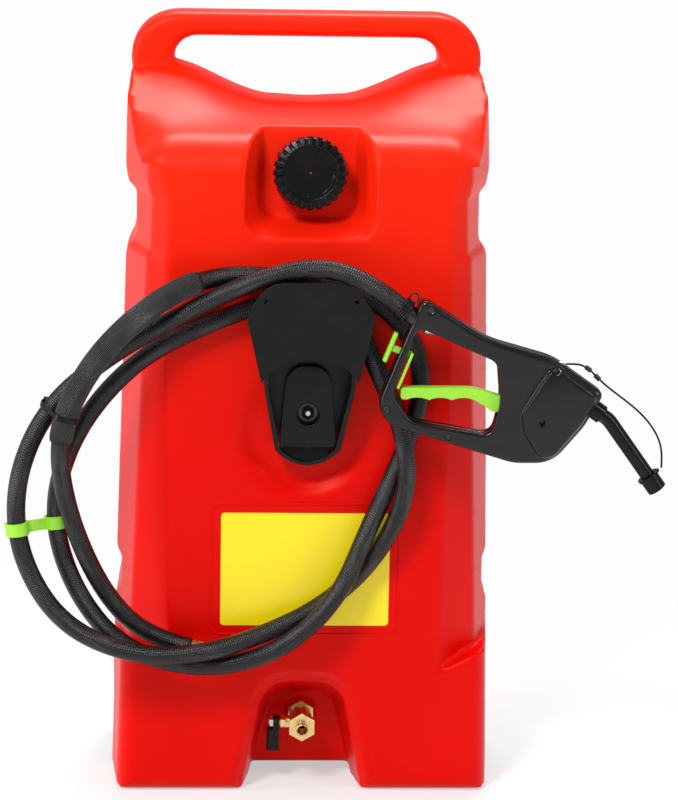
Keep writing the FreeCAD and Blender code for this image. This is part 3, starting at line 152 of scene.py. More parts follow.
def mergedCopy(node, name):
    # That shape as an item of its own, under the given name.
    return linked(bpy.data.objects.new(name, mergedMesh(node, name)))


def applied(item):
    # Makes the modifiers' result the piece's own mesh.
    graph = bpy.context.evaluated_depsgraph_get()
    graph.update()
    mesh = bpy.data.meshes.new_from_object(item.evaluated_get(graph))
    item.modifiers.clear()
    item.data = mesh


def remeshed(item, size):
    # Rebuilds the item as one even mesh of squares of the given size.
    remesh = item.modifiers.new("remesh", "REMESH")
    remesh.mode = "VOXEL"
    remesh.voxel_size = size
    applied(item)


def laidOn(item, target):
    # Moves each point to the nearest place on the target, which is then deleted.
    wrap = item.modifiers.new("wrap", "SHRINKWRAP")
    wrap.target = target
    applied(item)
    bpy.data.objects.remove(target)


def pointsOf(mesh):
    # The mesh's points, a row of x, y and z for each.
    points = np.zeros(len(mesh.vertices) * 3)
    mesh.vertices.foreach_get("co", points)
    return points.reshape(-1, 3)


def setPoints(mesh, points):
    # Moves the mesh's points to the places given, row by row.
    mesh.vertices.foreach_set("co", points.astype(np.float32).ravel())
    mesh.update()


def eased(value, low, high):
    # 0 at low and 1 at high, with a smooth step between; low may be the greater of the two.
    share = np.clip((value - low) / (high - low), 0, 1)
    return share * share * (3 - 2 * share)


def band(value, start, full, fading, end):
    # 0 outside start and end and 1 between full and fading, with smooth steps between.
    return eased(value, start, full) * eased(value, end, fading)


def finished(item, finish, node):
    # Gives a piece its finish, and the body of the node that it belongs to.
    item.data.materials.clear()
    item.data.materials.append(materials[finish])
    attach(item, bodyOf[node])
    return item


def inPlaceOf(node, item, finish):
    # Shows a finished piece instead of the node.
    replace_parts(finished(item, finish, node), node)
    return item


hose = {
    "radius": 0.01025,
    "step": 0.005,
    "around": 40,
    "route": [
        (0.1065, -0.1498, 0.5644), (0.067, -0.1455, 0.598), (0.007, -0.1325, 0.615),
        (-0.066, -0.1285, 0.595), (-0.146, -0.1255, 0.554), (-0.219, -0.1245, 0.511),
        (-0.286, -0.1245, 0.453), (-0.32, -0.1355, 0.374), (-0.316, -0.1375, 0.29),
        (-0.27, -0.1455, 0.213), (-0.189, -0.1495, 0.178), (-0.111, -0.1415, 0.179),
        (-0.048, -0.1195, 0.194), (0.015, -0.104, 0.22), (0.072, -0.1045, 0.27),
        (0.112, -0.1245, 0.354), (0.104, -0.1235, 0.432), (0.074, -0.1215, 0.497),
        (0.044, -0.1135, 0.563), (-0.022, -0.104, 0.577), (-0.103, -0.104, 0.547),
        (-0.189, -0.104, 0.504), (-0.256, -0.1055, 0.424), (-0.282, -0.1115, 0.334),
        (-0.258, -0.1175, 0.247), (-0.203, -0.1265, 0.179), (-0.116, -0.1265, 0.155),
        (-0.032, -0.1285, 0.174), (0.035, -0.1295, 0.236), (0.07, -0.1155, 0.321),
        (0.109, -0.103, 0.405), (0.128, -0.104, 0.482), (0.105, -0.104, 0.547),
        (0.043, -0.104, 0.586), (-0.033, -0.104, 0.596), (-0.106, -0.1055, 0.598),
        (-0.171, -0.1495, 0.575), (-0.235, -0.1515, 0.512), (-0.274, -0.1475, 0.431),
        (-0.264, -0.1335, 0.34), (-0.225, -0.1135, 0.241), (-0.175, -0.1045, 0.187),
        (-0.127, -0.1045, 0.175),
    ],
}

tether = {
    "radius": 0.0011,
    "step": 0.002,
    "around": 10,
    "route": [
        (0.277, -0.1485, 0.511), (0.289, -0.1485, 0.512), (0.301, -0.1485, 0.507),
        (0.311, -0.1485, 0.497), (0.323, -0.1485, 0.486), (0.338, -0.1485, 0.475),
        (0.355, -0.1485, 0.462), (0.37, -0.1485, 0.447), (0.381, -0.1485, 0.43),
        (0.386, -0.1485, 0.412), (0.3855, -0.1485, 0.396),
    ],
}


def lengthAlong(line):
    # The length from the line's start to each of its points.
    return np.r_[0, np.cumsum(np.linalg.norm(np.diff(line, axis=0), axis=1))]


def lineLength(line):
    # The sum of the distances from each point to the next.
    return float(np.linalg.norm(np.diff(line, axis=0), axis=1).sum())


def cordLine(values):
    # The smooth line of a route, at even steps along its length.
    curve = bpy.data.curves.new("line", "CURVE")
    curve.dimensions = "3D"
    curve.resolution_u = 24
    spline = curve.splines.new("NURBS")
    spline.points.add(len(values["route"]) - 1)
    spline.points.foreach_set("co", np.c_[values["route"], np.ones(len(values["route"]))].ravel())
    spline.order_u = 3
    spline.use_endpoint_u = True
    item = linked(bpy.data.objects.new("line", curve))
    mesh = bpy.data.meshes.new_from_object(item)
    line = pointsOf(mesh)
    bpy.data.objects.remove(item)
    bpy.data.meshes.remove(mesh)
    bpy.data.curves.remove(curve)
    along = lengthAlong(line)
    even = np.linspace(0, along[-1], int(round(along[-1] / values["step"])) + 1)
    return np.stack([np.interp(even, along, line[:, i]) for i in range(3)], -1)


def acrossLine(line):
    # The line's direction and two unit directions across it, the first of them out to the front.
    tangent = np.gradient(line, axis=0)
    tangent /= np.linalg.norm(tangent, axis=1, keepdims=True)
    out = np.array([0, -1, 0]) - tangent * (tangent @ np.array([0, -1, 0]))[:, None]
    out /= np.linalg.norm(out, axis=1, keepdims=True)
    return tangent, out, np.cross(tangent, out)


def tubeOn(name, line, radius, around):
    # Circles across the line: centre + radius * (out * cos + side * sin).
    _, out, side = acrossLine(line)
    angle = np.linspace(0, 2 * np.pi, around, endpoint=False)[None, :, None]
    radius = np.broadcast_to(radius, (len(line), around))[..., None]
    points = line[:, None] + radius * (out[:, None] * np.cos(angle) + side[:, None] * np.sin(angle))
    along = lengthAlong(line)

    def uv(row, column):
        # The share of the way round, and the metres along the line.
        return np.stack([column / around, along[np.minimum(row, len(along) - 1)]], -1)

    return gridPiece(name, points, uv=uv)


hoseLine = cordLine(hose)
tetherLine = cordLine(tether)
hosePiece = tubeOn("hose_tube", hoseLine, hose["radius"], hose["around"])
tetherPiece = tubeOn("tether_wire", tetherLine, tether["radius"], tether["around"])
print("cords:", round(lineLength(hoseLine), 3), "and", round(lineLength(tetherLine), 3), "m")


class Value:
    # A shader socket that takes part in Python arithmetic.
    def __init__(self, finish, socket):
        self.finish = finish
        self.socket = socket

    def maths(self, operation, *others):
        # A Math node whose first entry is this value.
        entries = {i: other for i, other in enumerate((self,) + others)}
        return self.finish.add("ShaderNodeMath", {"operation": operation}, entries)

    def __add__(self, other):
        return self.maths("ADD", other)

    def __sub__(self, other):
        return self.maths("SUBTRACT", other)

    def __mul__(self, other):
        return self.maths("MULTIPLY", other)

    def __pow__(self, other):
        return self.maths("POWER", other)

    def reflected(self, operation, other):
        # A Math node whose second entry is this value.
        return self.finish.add("ShaderNodeMath", {"operation": operation}, {0: other, 1: self})

    def __rsub__(self, other):
        return self.reflected("SUBTRACT", other)

    def __rpow__(self, other):
        return self.reflected("POWER", other)

    __radd__ = __add__
    __rmul__ = __mul__

    def sine(self):
        return self.maths("SINE")

    def size(self):
        return self.maths("ABSOLUTE")

    def largest(self, other):
        return self.maths("MAXIMUM", other)

    def between(self, low, high):
        # 0 at low and 1 at high, smooth in between.
        settings = {"interpolation_type": "SMOOTHSTEP"}
        return self.finish.add("ShaderNodeMapRange", settings, {0: self, 1: low, 2: high})


class Finish:
    # One material: a Principled shader and whatever feeds it.
    def __init__(self, name, colour, roughness, metallic=0.0, **fixed):
        self.material = bpy.data.materials.new(name)
        self.material.use_nodes = True
        self.tree = self.material.node_tree
        self.tree.nodes.clear()
        self.shader = self.tree.nodes.new("ShaderNodeBsdfPrincipled")
        self.output = self.tree.nodes.new("ShaderNodeOutputMaterial")
        self.tree.links.new(self.shader.outputs[0], self.output.inputs[0])
        self.feed(self.shader, "Base Color", colour)
        self.feed(self.shader, "Roughness", roughness)
        self.feed(self.shader, "Metallic", metallic)
        for key, value in fixed.items():
            self.feed(self.shader, key.replace("_", " "), value)
        self.material.diffuse_color = (*colour, 1)

    def feed(self, node, entry, value):
        # Links a Value to a node's entry, or writes a fixed value there.
        socket = node.inputs[entry]
        if isinstance(value, Value):
            self.tree.links.new(value.socket, socket)
        elif isinstance(value, tuple) and len(value) == 3 and socket.type == "RGBA":
            socket.default_value = (*value, 1)
        else:
            socket.default_value = value

    def add(self, kind, settings=None, entries=None, result=0):
        # Any node: its type, its settings, what feeds its entries, and the output that is used.
        node = self.tree.nodes.new(kind)
        for key, value in (settings or {}).items():
            setattr(node, key, value)
        for key, value in (entries or {}).items():
            self.feed(node, key, value)
        return Value(self, node.outputs[result])

    def place(self):
        return self.add("ShaderNodeTexCoord", result="Object")

    def uv(self):
        return self.add("ShaderNodeTexCoord", result="UV")

    def parts(self, vector):
        # The vector's x, y and z.
        return [self.add("ShaderNodeSeparateXYZ", None, {0: vector}, i) for i in range(3)]

    def scaled(self, vector, scale):
        # The vector times the scale, axis by axis.
        settings = {"vector_type": "TEXTURE"}
        inverse = tuple(1 / s for s in scale)
        return self.add("ShaderNodeMapping", settings, {"Vector": vector, "Scale": inverse})

    def noise(self, vector, scale, detail=2.0, rough=0.5):
        entries = {"Vector": vector, "Scale": scale, "Detail": detail, "Roughness": rough}
        return self.add("ShaderNodeTexNoise", None, entries)

    def mixed(self, factor, first, second):
        # Entries 0, 6 and 7 of a Mix node are its colours' factor and its two colours.
        entries = {0: factor, 6: first, 7: second}
        return self.add("ShaderNodeMix", {"data_type": "RGBA"}, entries, 2)

    def colour(self, value):
        self.feed(self.shader, "Base Color", value)

    def roughness(self, value):
        self.feed(self.shader, "Roughness", value)

    def relief(self, height, distance, strength):
        # Tilts the surface's shading as a height of up to the distance would.
        entries = {"Height": height, "Distance": distance, "Strength": strength}
        self.feed(self.shader, "Normal", self.add("ShaderNodeBump", None, entries))


def redPolyethylene():
    # Blow-moulded plastic with painted light and shade, lighter and more orange towards the top and
    # darker towards the bottom: a faint cloud in the colour, a fine sand grain and a few dull rubs.
    look = Finish(
        "red polyethylene", (0.80, 0.008, 0.003), 0.34, Specular_IOR_Level=0.34,
        Specular_Tint=(1.0, 0.3, 0.24, 1.0),
    )
    place = look.place()
    cloud = look.noise(place, 9, 3)
    rubs = look.noise(look.scaled(place, (3, 3, 14)), 6, 5, 0.65).between(0.58, 0.72)
    grain = look.noise(place, 1500, 1)
    ripple = look.noise(place, 70, 2)
    # painted light and shade: the height sets the share of the lit top red over the shaded bottom
    # red
    high = look.parts(place)[2].between(0.35, 0.8)
    red_with_painted_shade = look.mixed(cloud, (0.64, 0.0, 0.0), (0.76, 0.001, 0.0))
    red_with_painted_light = look.mixed(cloud, (0.86, 0.012, 0.002), (0.92, 0.022, 0.003))
    look.colour(look.mixed(high, red_with_painted_shade, red_with_painted_light))
    look.roughness(0.37 + rubs * 0.12 + cloud * 0.05)
    look.relief(grain * 0.55 + ripple * 0.9, 0.00035, 0.45)
    return look.material


def blackMoulded(name, roughness, grainScale, shine=0.24):
    # Glass-filled nylon: near black, with a spark-eroded grain and faint dust.
    look = Finish(name, (0.003, 0.003, 0.0035), roughness, Specular_IOR_Level=shine)
    place = look.place()
    grain = look.noise(place, grainScale, 2)
    dust = look.noise(place, 30, 4, 0.6)
    look.colour(look.mixed(dust.between(0.45, 0.8), (0.002, 0.002, 0.0025), (0.006, 0.006, 0.007)))
    look.roughness(roughness - 0.05 + dust * 0.12)
    look.relief(grain, 0.0003, 0.35)
    return look.material


def greenMoulded():
    # Bright plastic with a faint cloud in its colour and a fine grain.
    look = Finish("green plastic", (0.28, 0.66, 0.03), 0.36)
    place = look.place()
    cloud = look.noise(place, 25, 2)
    look.colour(look.mixed(cloud, (0.25, 0.62, 0.025), (0.33, 0.72, 0.04)))
    look.roughness(0.30 + cloud * 0.12)
    look.relief(look.noise(place, 1800, 1), 0.0002, 0.25)
    return look.material


hoseWeave = {
    "rib": 0.0026,  # metres from one rib to the next
    "threads": 30,
    "slant": 0.004,  # metres that a rib climbs in one turn about the hose
    "twist": 90,  # radians by which the threads' wave moves on in a metre of hose
}


def wovenRubber(values):
    # Rubber cured in a cloth wrap: fine ribs across the hose broken by threads along it, with
    # grey in patches on the ribs' tops that is partly bloom and partly painted sheen.
    look = Finish("cloth-wrapped rubber", (0.004, 0.004, 0.005), 0.34, Specular_IOR_Level=0.42)
    around, along, _ = look.parts(look.uv())
    slant = along + around * values["slant"]
    ribs = (slant * (2 * math.pi / values["rib"])).sine() * 0.5 + 0.5
    turned = around * (2 * math.pi * values["threads"]) + along * values["twist"]
    threads = turned.sine() * 0.5 + 0.5
    weave = ribs * (threads * 0.6 + 0.4)
    # partly bloom, partly painted sheen: grey patches along the hose that, with the weave, lighten
    # the ribs' tops
    bloom_and_sheen = look.noise(look.scaled(look.uv(), (3.0, 9.0, 1.0)), 1.6, 4, 0.6).between(0.46, 0.66)
    look.colour(look.mixed(weave * bloom_and_sheen, (0.003, 0.003, 0.004), (0.075, 0.074, 0.08)))
    look.roughness(0.36 - weave * 0.14)
    fine = look.noise(look.place(), 900, 2)
    look.relief(weave * 0.8 + fine * 0.2, 0.0006, 0.9)
    return look.material


def ribbedRubber(ribs):
    # A moulded sleeve with ribs along it, |sin| around the hose; grey on their tops is partly bloom
    # and partly painted sheen.
    look = Finish("ribbed rubber", (0.006, 0.006, 0.007), 0.34, Specular_IOR_Level=0.4)
    around = look.parts(look.uv())[0]
    rib = (around * (math.pi * ribs)).sine().size()
    # partly bloom, partly painted sheen: grey patches that lighten the ribs' tops
    bloom_and_sheen = look.noise(look.place(), 24, 4, 0.6).between(0.35, 0.7) * 0.6 + 0.4
    look.colour(look.mixed(rib * rib * bloom_and_sheen, (0.003, 0.003, 0.004), (0.075, 0.074, 0.078)))
    look.roughness(0.4 - rib * 0.12)
    look.relief(rib, 0.0006, 0.8)
    return look.material


def plainRubber(name, roughness):
    # Dark rubber with grey dust in patches and a fine grain.
    look = Finish(name, (0.014, 0.014, 0.015), roughness)
    place = look.place()
    dust = look.noise(place, 40, 4, 0.6)
    look.colour(look.mixed(dust.between(0.5, 0.85), (0.012, 0.012, 0.013), (0.035, 0.034, 0.036)))
    look.roughness(roughness + dust * 0.12)
    look.relief(look.noise(place, 1100, 2), 0.0003, 0.4)
    return look.material


def labelFilm():
    # Bare yellow film: a faint cloud, a soft waviness and a slight gloss.
    look = Finish("yellow film", (0.95, 0.72, 0.004), 0.34)
    place = look.place()
    cloud = look.noise(place, 20, 2)
    look.colour(look.mixed(cloud, (0.90, 0.69, 0.002), (0.97, 0.77, 0.004)))
    look.roughness(0.26 + cloud * 0.14)
    look.relief(look.noise(place, 130, 3), 0.0003, 0.25)
    return look.material


def brass():
    # Turned and pressed brass: fine tool lines, with browner tarnish in patches.
    look = Finish("brass", (0.80, 0.56, 0.24), 0.28, 1.0)
    place = look.place()
    tarnish = look.noise(place, 70, 4, 0.65).between(0.45, 0.7)
    lines = look.noise(look.scaled(place, (1, 14, 1)), 260, 2)
    look.colour(look.mixed(tarnish, (0.86, 0.62, 0.28), (0.52, 0.33, 0.12)))
    look.roughness(0.22 + tarnish * 0.2 + lines * 0.08)
    look.relief(lines, 0.0001, 0.4)
    return look.material


def metal(name, colour, roughness):
    # Metal with fine tool lines across x, and duller, darker patches.
    look = Finish(name, colour, roughness, 1.0)
    place = look.place()
    lines = look.noise(look.scaled(place, (8, 1, 1)), 240, 2)
    dull = look.noise(place, 60, 3, 0.6)
    darker = tuple(channel * 0.72 for channel in colour)
    look.colour(look.mixed(dull.between(0.45, 0.75), colour, darker))
    look.roughness(roughness - 0.05 + dull * 0.14)
    look.relief(lines, 0.0001, 0.3)
    return look.material


boltHead = {
    "bright": (0.0022, 0.0030),  # metres from the bolt's axis over which the bright middle fades
}


def boltSteel(values):
    # Blackened steel with a bright middle: the distance from the bolt's axis sets the share.
    look = Finish("bolt steel", (0.03, 0.03, 0.03), 0.35, 1.0)
    low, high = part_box("hook_bolt")
    x, _, z = look.parts(look.place())
    alongX, alongZ = x - (low.x + high.x) / 2, z - (low.z + high.z) / 2
    away = (alongX * alongX + alongZ * alongZ) ** 0.5
    dark = away.between(*values["bright"])
    look.colour(look.mixed(dark, (0.6, 0.6, 0.6), (0.008, 0.008, 0.009)))
    look.roughness(look.noise(look.place(), 400, 2) * 0.2 + 0.25)
    return look.material


materials = {
    "tank_plastic": redPolyethylene(),
    "black_plastic": blackMoulded("black nylon", 0.27, 1300),
    "green_plastic": greenMoulded(),
    "label_film": labelFilm(),
    "brass": brass(),
    "steel": metal("zinc-plated steel", (0.62, 0.62, 0.64), 0.32),
    "bolt_steel": boltSteel(boltHead),
    "nozzle_plastic": blackMoulded("nozzle nylon", 0.24, 900, 0.45),
    "worn_plastic": blackMoulded("scuffed nylon", 0.2, 600),
    "aluminium": metal("drawn aluminium", (0.78, 0.78, 0.80), 0.3),
    "dark_steel": metal("blackened steel", (0.06, 0.06, 0.065), 0.3),
    "tyre_rubber": plainRubber("tyre rubber", 0.62),
    "seal_rubber": plainRubber("seal rubber", 0.5),
    "hose_rubber": wovenRubber(hoseWeave),
    "spout_paint": blackMoulded("black enamel", 0.22, 500),
}
darkened = ("hook_washer", "hose_clamp", "hose_inlet", "nozzle_screws", "tether_ferrules")
for node, item in nodes.items():
    item.data.materials.clear()
    item.data.materials.append(materials["dark_steel" if node in darkened else slotOf[node]])
nodes["hook_bolt"].data.materials[0] = materials["bolt_steel"]
print("finishes made:", len(materials))

inPlaceOf("hose", hosePiece, "hose_rubber")
inPlaceOf("cap_tether", tetherPiece, "black_plastic")


sleeve = {
    "radius": 0.0130,
    "ribs": 48,
    "ribHeight": 0.00045,
    "around": 384,
    "endEase": 0.0007,
    "span": ("hose_sleeve", 0.78, 0.97),  # the node, and the hose's shares between which it lies
}


def stretchInBox(line, node, low, high):
    # The first and last of the line's points inside a node's box, between two shares of the line.
    start, end = int(low * len(line)), int(high * len(line))
    boxLow, boxHigh = (np.array(corner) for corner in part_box(node))
    part = line[start:end]
    inside = np.flatnonzero(np.all((part > boxLow - 0.001) & (part < boxHigh + 0.001), axis=1))
    return start + int(inside[0]), start + int(inside[-1])


def makeSleeve(values):
    # A tube on the hose with ribs along it: radius - height * (1 - |sin| ** 0.7), drawn in at
    # its two ends.
    first, last = stretchInBox(hoseLine, *values["span"])
    line = hoseLine[first:last + 1]
    angle = np.linspace(0, 2 * np.pi, values["around"], endpoint=False)
    rib = values["ribHeight"] * np.abs(np.sin(angle * values["ribs"] / 2)) ** 0.7
    radius = np.tile(values["radius"] - values["ribHeight"] + rib, (len(line), 1))
    radius[[0, -1]] -= values["endEase"]
    return tubeOn("ribbed_sleeve", line, radius, values["around"])


materials["sleeve_rubber"] = ribbedRubber(sleeve["ribs"])
sleevePiece = inPlaceOf("hose_sleeve", makeSleeve(sleeve), "sleeve_rubber")
print("sleeve made")


neckTilt = 81  # degrees by which the cap's axis leans forwards from upright

tankSkin = {
    "voxel": 0.004,
    "smoothing": 1,
    "kept": 0.62,  # share of the skin's faces that is kept
    "stops": ("outlet_bushing", "hook_insert"),  # nodes that stop the holes they stand in
    "plug": (0.030, 0.008),  # radius and depth of the disc that stops the neck
    "plugPlace": (0, 0.022, -0.0035),  # from the middle of the cap's gasket
    "core": ((-0.06, -0.01, 0.115), (0.06, 0.06, 0.2)),  # backs the wall over the outlet's recess
    "roof": 0.764,
    "lip": (0.765, 0.807),  # height of the opening's lip in the middle and at its ends
    "lipReach": (0.03, 0.16),
    "climb": 0.8,  # share of the way up to the lip that the roof rises
    "climbFrom": 0.69,
    "climbDepth": (-0.05, 0.08),
    "ridgeDrop": 0.032,
    "ridgeAcross": (0.15, 0.2),
    "ridgeDepth": (0.0, -0.06),
    "ridgeHeights": (0.68, 0.755, 0.765, 0.81),
    "handleWider": 0.0042,
    "handleHeights": (0.68, 0.80),
    "shoulderWider": 0.0025,
    "shoulderHeights": (0.684, 0.70, 0.72, 0.80),
    "grooveDeeper": 0.004,
    "grooveHeights": (0.61, 0.618, 0.676, 0.684),
    "widerAcross": (0.12, 0.185),
    "roofSmoothing": 60,
    "roofHeights": (0.68, 0.72, 0.80, 0.845),
    "roofDepth": (0.10, 0.075),
    "roofAcross": (0.166, 0.146),
    "scoopSmoothing": 40,
    "scoop": (0.424, 0.0705),  # height of the scoop's middle, and its radius
    "scoopRim": (0.008, 0.02),
    "scoopDepth": (0.0, -0.05),
    "pocket": (0.078, 0.035, 0.012),  # half width, depth under the gasket, and ease
}


def warpTank(points, values):
    # Brings the roof up to the hand opening in a sweep, lowers the facets' outer top ends, widens
    # the handle and the shoulders and deepens the grooves: each is a height times eased bands.
    x, y, z = points.T
    away, roof = np.abs(x), values["roof"]
    lipMiddle, lipEnds = values["lip"]
    lip = lipMiddle + (lipEnds - lipMiddle) * eased(away, *values["lipReach"])
    above = np.clip((lip - z) / (lip - roof), 0, 1)
    share = np.where(z < roof, eased(z, values["climbFrom"], roof), above)
    climb = values["climb"] * eased(y, *values["climbDepth"]) * share * (lip - roof)
    outer = eased(away, *values["ridgeAcross"]) * eased(y, *values["ridgeDepth"])
    drop = values["ridgeDrop"] * outer * band(z, *values["ridgeHeights"])
    wider = values["handleWider"] * eased(z, *values["handleHeights"])
    wider += values["shoulderWider"] * band(z, *values["shoulderHeights"])
    wider -= values["grooveDeeper"] * band(z, *values["grooveHeights"])
    grown = x + np.sign(x) * wider * eased(away, *values["widerAcross"])
    return np.stack([grown, y, z + climb - drop], -1)


def insidePocket(x, z, half, under, ease):
    # 1 inside the pocket round the cap and 0 outside it.
    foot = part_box("cap_gasket")[0].z - under
    return eased(np.abs(x), half + ease, half) * eased(z, foot - ease, foot)


def addShare(item, name, share):
    # A vertex group whose weights are the shares, rounded to sixteenths.
    group = item.vertex_groups.new(name=name)
    steps = np.round(np.clip(share, 0, 1) * 16).astype(int)
    for step in range(1, 17):
        group.add(np.flatnonzero(steps == step).tolist(), step / 16, "REPLACE")


def softenShape(item, times, group=""):
    # Moves each point halfway to the middle of its neighbours, times over, by the group's weights.
    smooth = item.modifiers.new("smooth", "SMOOTH")
    smooth.factor = 0.5
    smooth.iterations = times
    smooth.vertex_group = group


def largestIsland(item):
    # Splits the mesh into its loose parts and keeps the widest one.
    name = item.name
    bpy.ops.object.select_all(action="DESELECT")
    item.select_set(True)
    bpy.context.view_layer.objects.active = item
    bpy.ops.mesh.separate(type="LOOSE")
    parts = sorted(bpy.context.selected_objects, key=lambda part: part.dimensions.length)
    for part in parts[:-1]:
        bpy.data.objects.remove(part)
    parts[-1].name = name
    return parts[-1]


def addTankStops(work, values):
    # Stops the tank's holes with a disc in the neck and the nodes that stand in the others.
    low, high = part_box("cap_gasket")
    place = Matrix.Translation((low + high) / 2 + Vector(values["plugPlace"]))
    radius, depth = values["plug"]
    bmesh.ops.create_cone(
        work, cap_ends=True, segments=48, radius1=radius, radius2=radius, depth=depth,
        matrix=place @ Matrix.Rotation(math.radians(neckTilt), 4, "X"),
    )
    for node in values["stops"]:
        work.from_mesh(mergedMesh(node, node + "_stop"))


def makeTankSkin(values):
    # The hollow tank as one soft skin: its holes stopped, rebuilt as even squares, laid back on
    # its own faces, bent by warpTank, softened in places and thinned.
    shell = mergedCopy("tank_shell", "tank_skin")
    work = bmesh.new()
    work.from_mesh(shell.data)
    addTankStops(work, values)
    work.to_mesh(shell.data)
    target = linked(bpy.data.objects.new("tank_target", shell.data.copy()))
    low, high = (Vector(corner) for corner in values["core"])
    size = Matrix.Diagonal((*(high - low), 1))
    bmesh.ops.create_cube(work, size=1, matrix=Matrix.Translation((low + high) / 2) @ size)
    work.to_mesh(shell.data)
    work.free()
    remeshed(shell, values["voxel"])
    shell = largestIsland(shell)
    laidOn(shell, target)
    points = warpTank(pointsOf(shell.data), values)
    setPoints(shell.data, points)
    x, y, z = points.T
    roof = band(z, *values["roofHeights"]) * eased(y, *values["roofDepth"])
    roof *= eased(np.abs(x), *values["roofAcross"]) * (1 - insidePocket(x, z, *values["pocket"]))
    addShare(shell, "roof", roof)
    away = np.hypot(x, z - values["scoop"][0])
    rim = 1 - eased(np.abs(away - values["scoop"][1]), *values["scoopRim"])
    addShare(shell, "scoop", rim * eased(y, *values["scoopDepth"]))
    softenShape(shell, values["roofSmoothing"], "roof")
    softenShape(shell, values["scoopSmoothing"], "scoop")
    softenShape(shell, values["smoothing"])
    thinned = shell.modifiers.new("thinned", "DECIMATE")
    thinned.ratio = values["kept"]
    applied(shell)
    shell.data.shade_smooth()
    return shell


skin = inPlaceOf("tank_shell", makeTankSkin(tankSkin), "tank_plastic")
print("tank skin:", len(skin.data.polygons), "faces")


hookFoot = {
    "centre": 0.43,  # the height under which the cup is made round
    "reach": 0.045,
    "side": (0.0351, 0.43),  # x and z at which the slanting side meets the centre's height
    "corner": ((0.0295, 0.4085), (0.006, 0.385), 0.0235),  # the corner's two ends and its radius
    "divided": (0.47, 0.006, 5, 2),  # height, shortest edge, cuts to an edge, and times
}


def roundFoot(points, values):
    # Turns the cup's foot into half an ellipse: the way from the centre times new / old reach.
    side, reach, centre = values["side"], values["reach"], values["centre"]
    (_, top), (flat, foot), radius = values["corner"]
    turn = np.linspace(0, np.pi / 2, 30)
    corner = np.stack([flat + radius * np.cos(turn), top - radius * np.sin(turn)], -1)
    x, z = (np.concatenate([[side], corner, [(0, foot)]]) - (0, centre)).T
    down = np.maximum(centre - points[..., 2], 0)
    angle = np.arctan2(down, np.maximum(np.abs(points[..., 0]), 1e-6))
    old = np.interp(angle, np.arctan2(-z, x), np.hypot(x, z))
    new = side[0] * reach / np.hypot(reach * np.cos(angle), side[0] * np.sin(angle))
    share = np.where(down > 0, new / old, 1)
    height = np.where(down > 0, centre - down * share, points[..., 2])
    return np.stack([points[..., 0] * share, points[..., 1], height], -1)


def divideBelow(work, height, shortest, cuts, times):
    # Divides the edges below a height, so that the cup bends smoothly.
    for _ in range(times):
        edges = [edge for edge in work.edges if edge.calc_length() > shortest]
        edges = [edge for edge in edges if max(corner.co.z for corner in edge.verts) < height]
        bmesh.ops.subdivide_edges(work, edges=edges, cuts=cuts, use_grid_fill=True)


def smoothNode(node, finish, values, bevel, foot=None):
    # The node's own shape with its flat faces joined, its edges eased and its arcs shaded round.
    item = mergedCopy(node, node + "_dressed")
    work = bmesh.new()
    work.from_mesh(item.data)
    flat = math.radians(values["flat"])
    bmesh.ops.dissolve_limit(work, angle_limit=flat, verts=work.verts, edges=work.edges)
    if foot:
        divideBelow(work, *foot["divided"])
    work.to_mesh(item.data)
    work.free()
    if foot:
        setPoints(item.data, roundFoot(pointsOf(item.data), foot))
    item.data.shade_smooth()
    item.data.set_sharp_from_angle(angle=math.radians(values["crease"]))
    if bevel:
        edge = item.modifiers.new("bevel", "BEVEL")
        edge.width = bevel
        edge.segments = 2
        edge.limit_method = "ANGLE"
        edge.angle_limit = math.radians(values["edge"])
        edge.harden_normals = False
    return inPlaceOf(node, item, finish)


dressing = {
    "flat": 1,  # degrees; faces that meet more flatly are joined
    "crease": 32,  # degrees; sharper edges stay creased
    "edge": 40,  # degrees; sharper edges are bevelled
}
dressedNodes = {
    "hose_hook": 0.0008, "valve_body": 0.0004, "outlet_nipple": 0.0003, "outlet_bushing": 0.0003,
    "packing_nut": 0.0003, "valve_lever": 0.0006, "lever_nut": 0.0002, "coupling_nut": 0.0003,
    "coupling_stem": 0.0002, "trigger": 0.0004, "latch": 0.0003, "spout": 0, "spout_cap": 0.0003,
    "left_rim": 0, "right_rim": 0, "left_tyre": 0, "right_tyre": 0, "hose_tie": 0,
    "hose_clip": 0.0004,
}  # the width of each node's bevel, in metres
hookFloor = {
    "foot": (0.387, 0.0290, 0.0215),  # lowest height, half width there, and radius of the corner
    "top": (0.47, 0.0450),  # highest height, and half width there
    "depth": (-0.0985, -0.0955),  # the front and back of its foot
    "slope": 0.16,
    "around": 40,
    "hub": 0.02,  # share of the rim's size at which its middle is shut
    "crease": 40,  # degrees
}


def makeHookFloor(values):
    # The cup's floor: round corners at the foot under slanting sides, made round as the cup is.
    low, half, corner = values["foot"]
    top, topHalf = values["top"]
    turn = np.linspace(-np.pi / 2, 0, values["around"])
    right = np.stack([half - corner + corner * np.cos(turn), low + corner + corner * np.sin(turn)])
    right = right.T
    side = np.linspace(right[-1], (topHalf, top), values["around"])[1:]
    right = np.concatenate([right, side])
    rim = np.concatenate([right, right[::-1] * (-1, 1)])
    middle = np.array([0, (low + top) / 2])
    hub, (front, back) = values["hub"], values["depth"]
    layers = [(hub, back), (1, back), (1, front), (hub, front)]
    flat = np.stack([middle + (rim - middle) * share for share, _ in layers])
    depth = np.array([place for _, place in layers])[:, None]
    depth = depth + values["slope"] * (flat[..., 1] - low)
    points = np.stack([flat[..., 0], depth, flat[..., 1]], -1)
    item = gridPiece("hook_floor", roundFoot(points, hookFoot))
    item.data.set_sharp_from_angle(angle=math.radians(values["crease"]))
    return item


finished(makeHookFloor(hookFloor), "black_plastic", "hose_hook")
print("hook floor made")

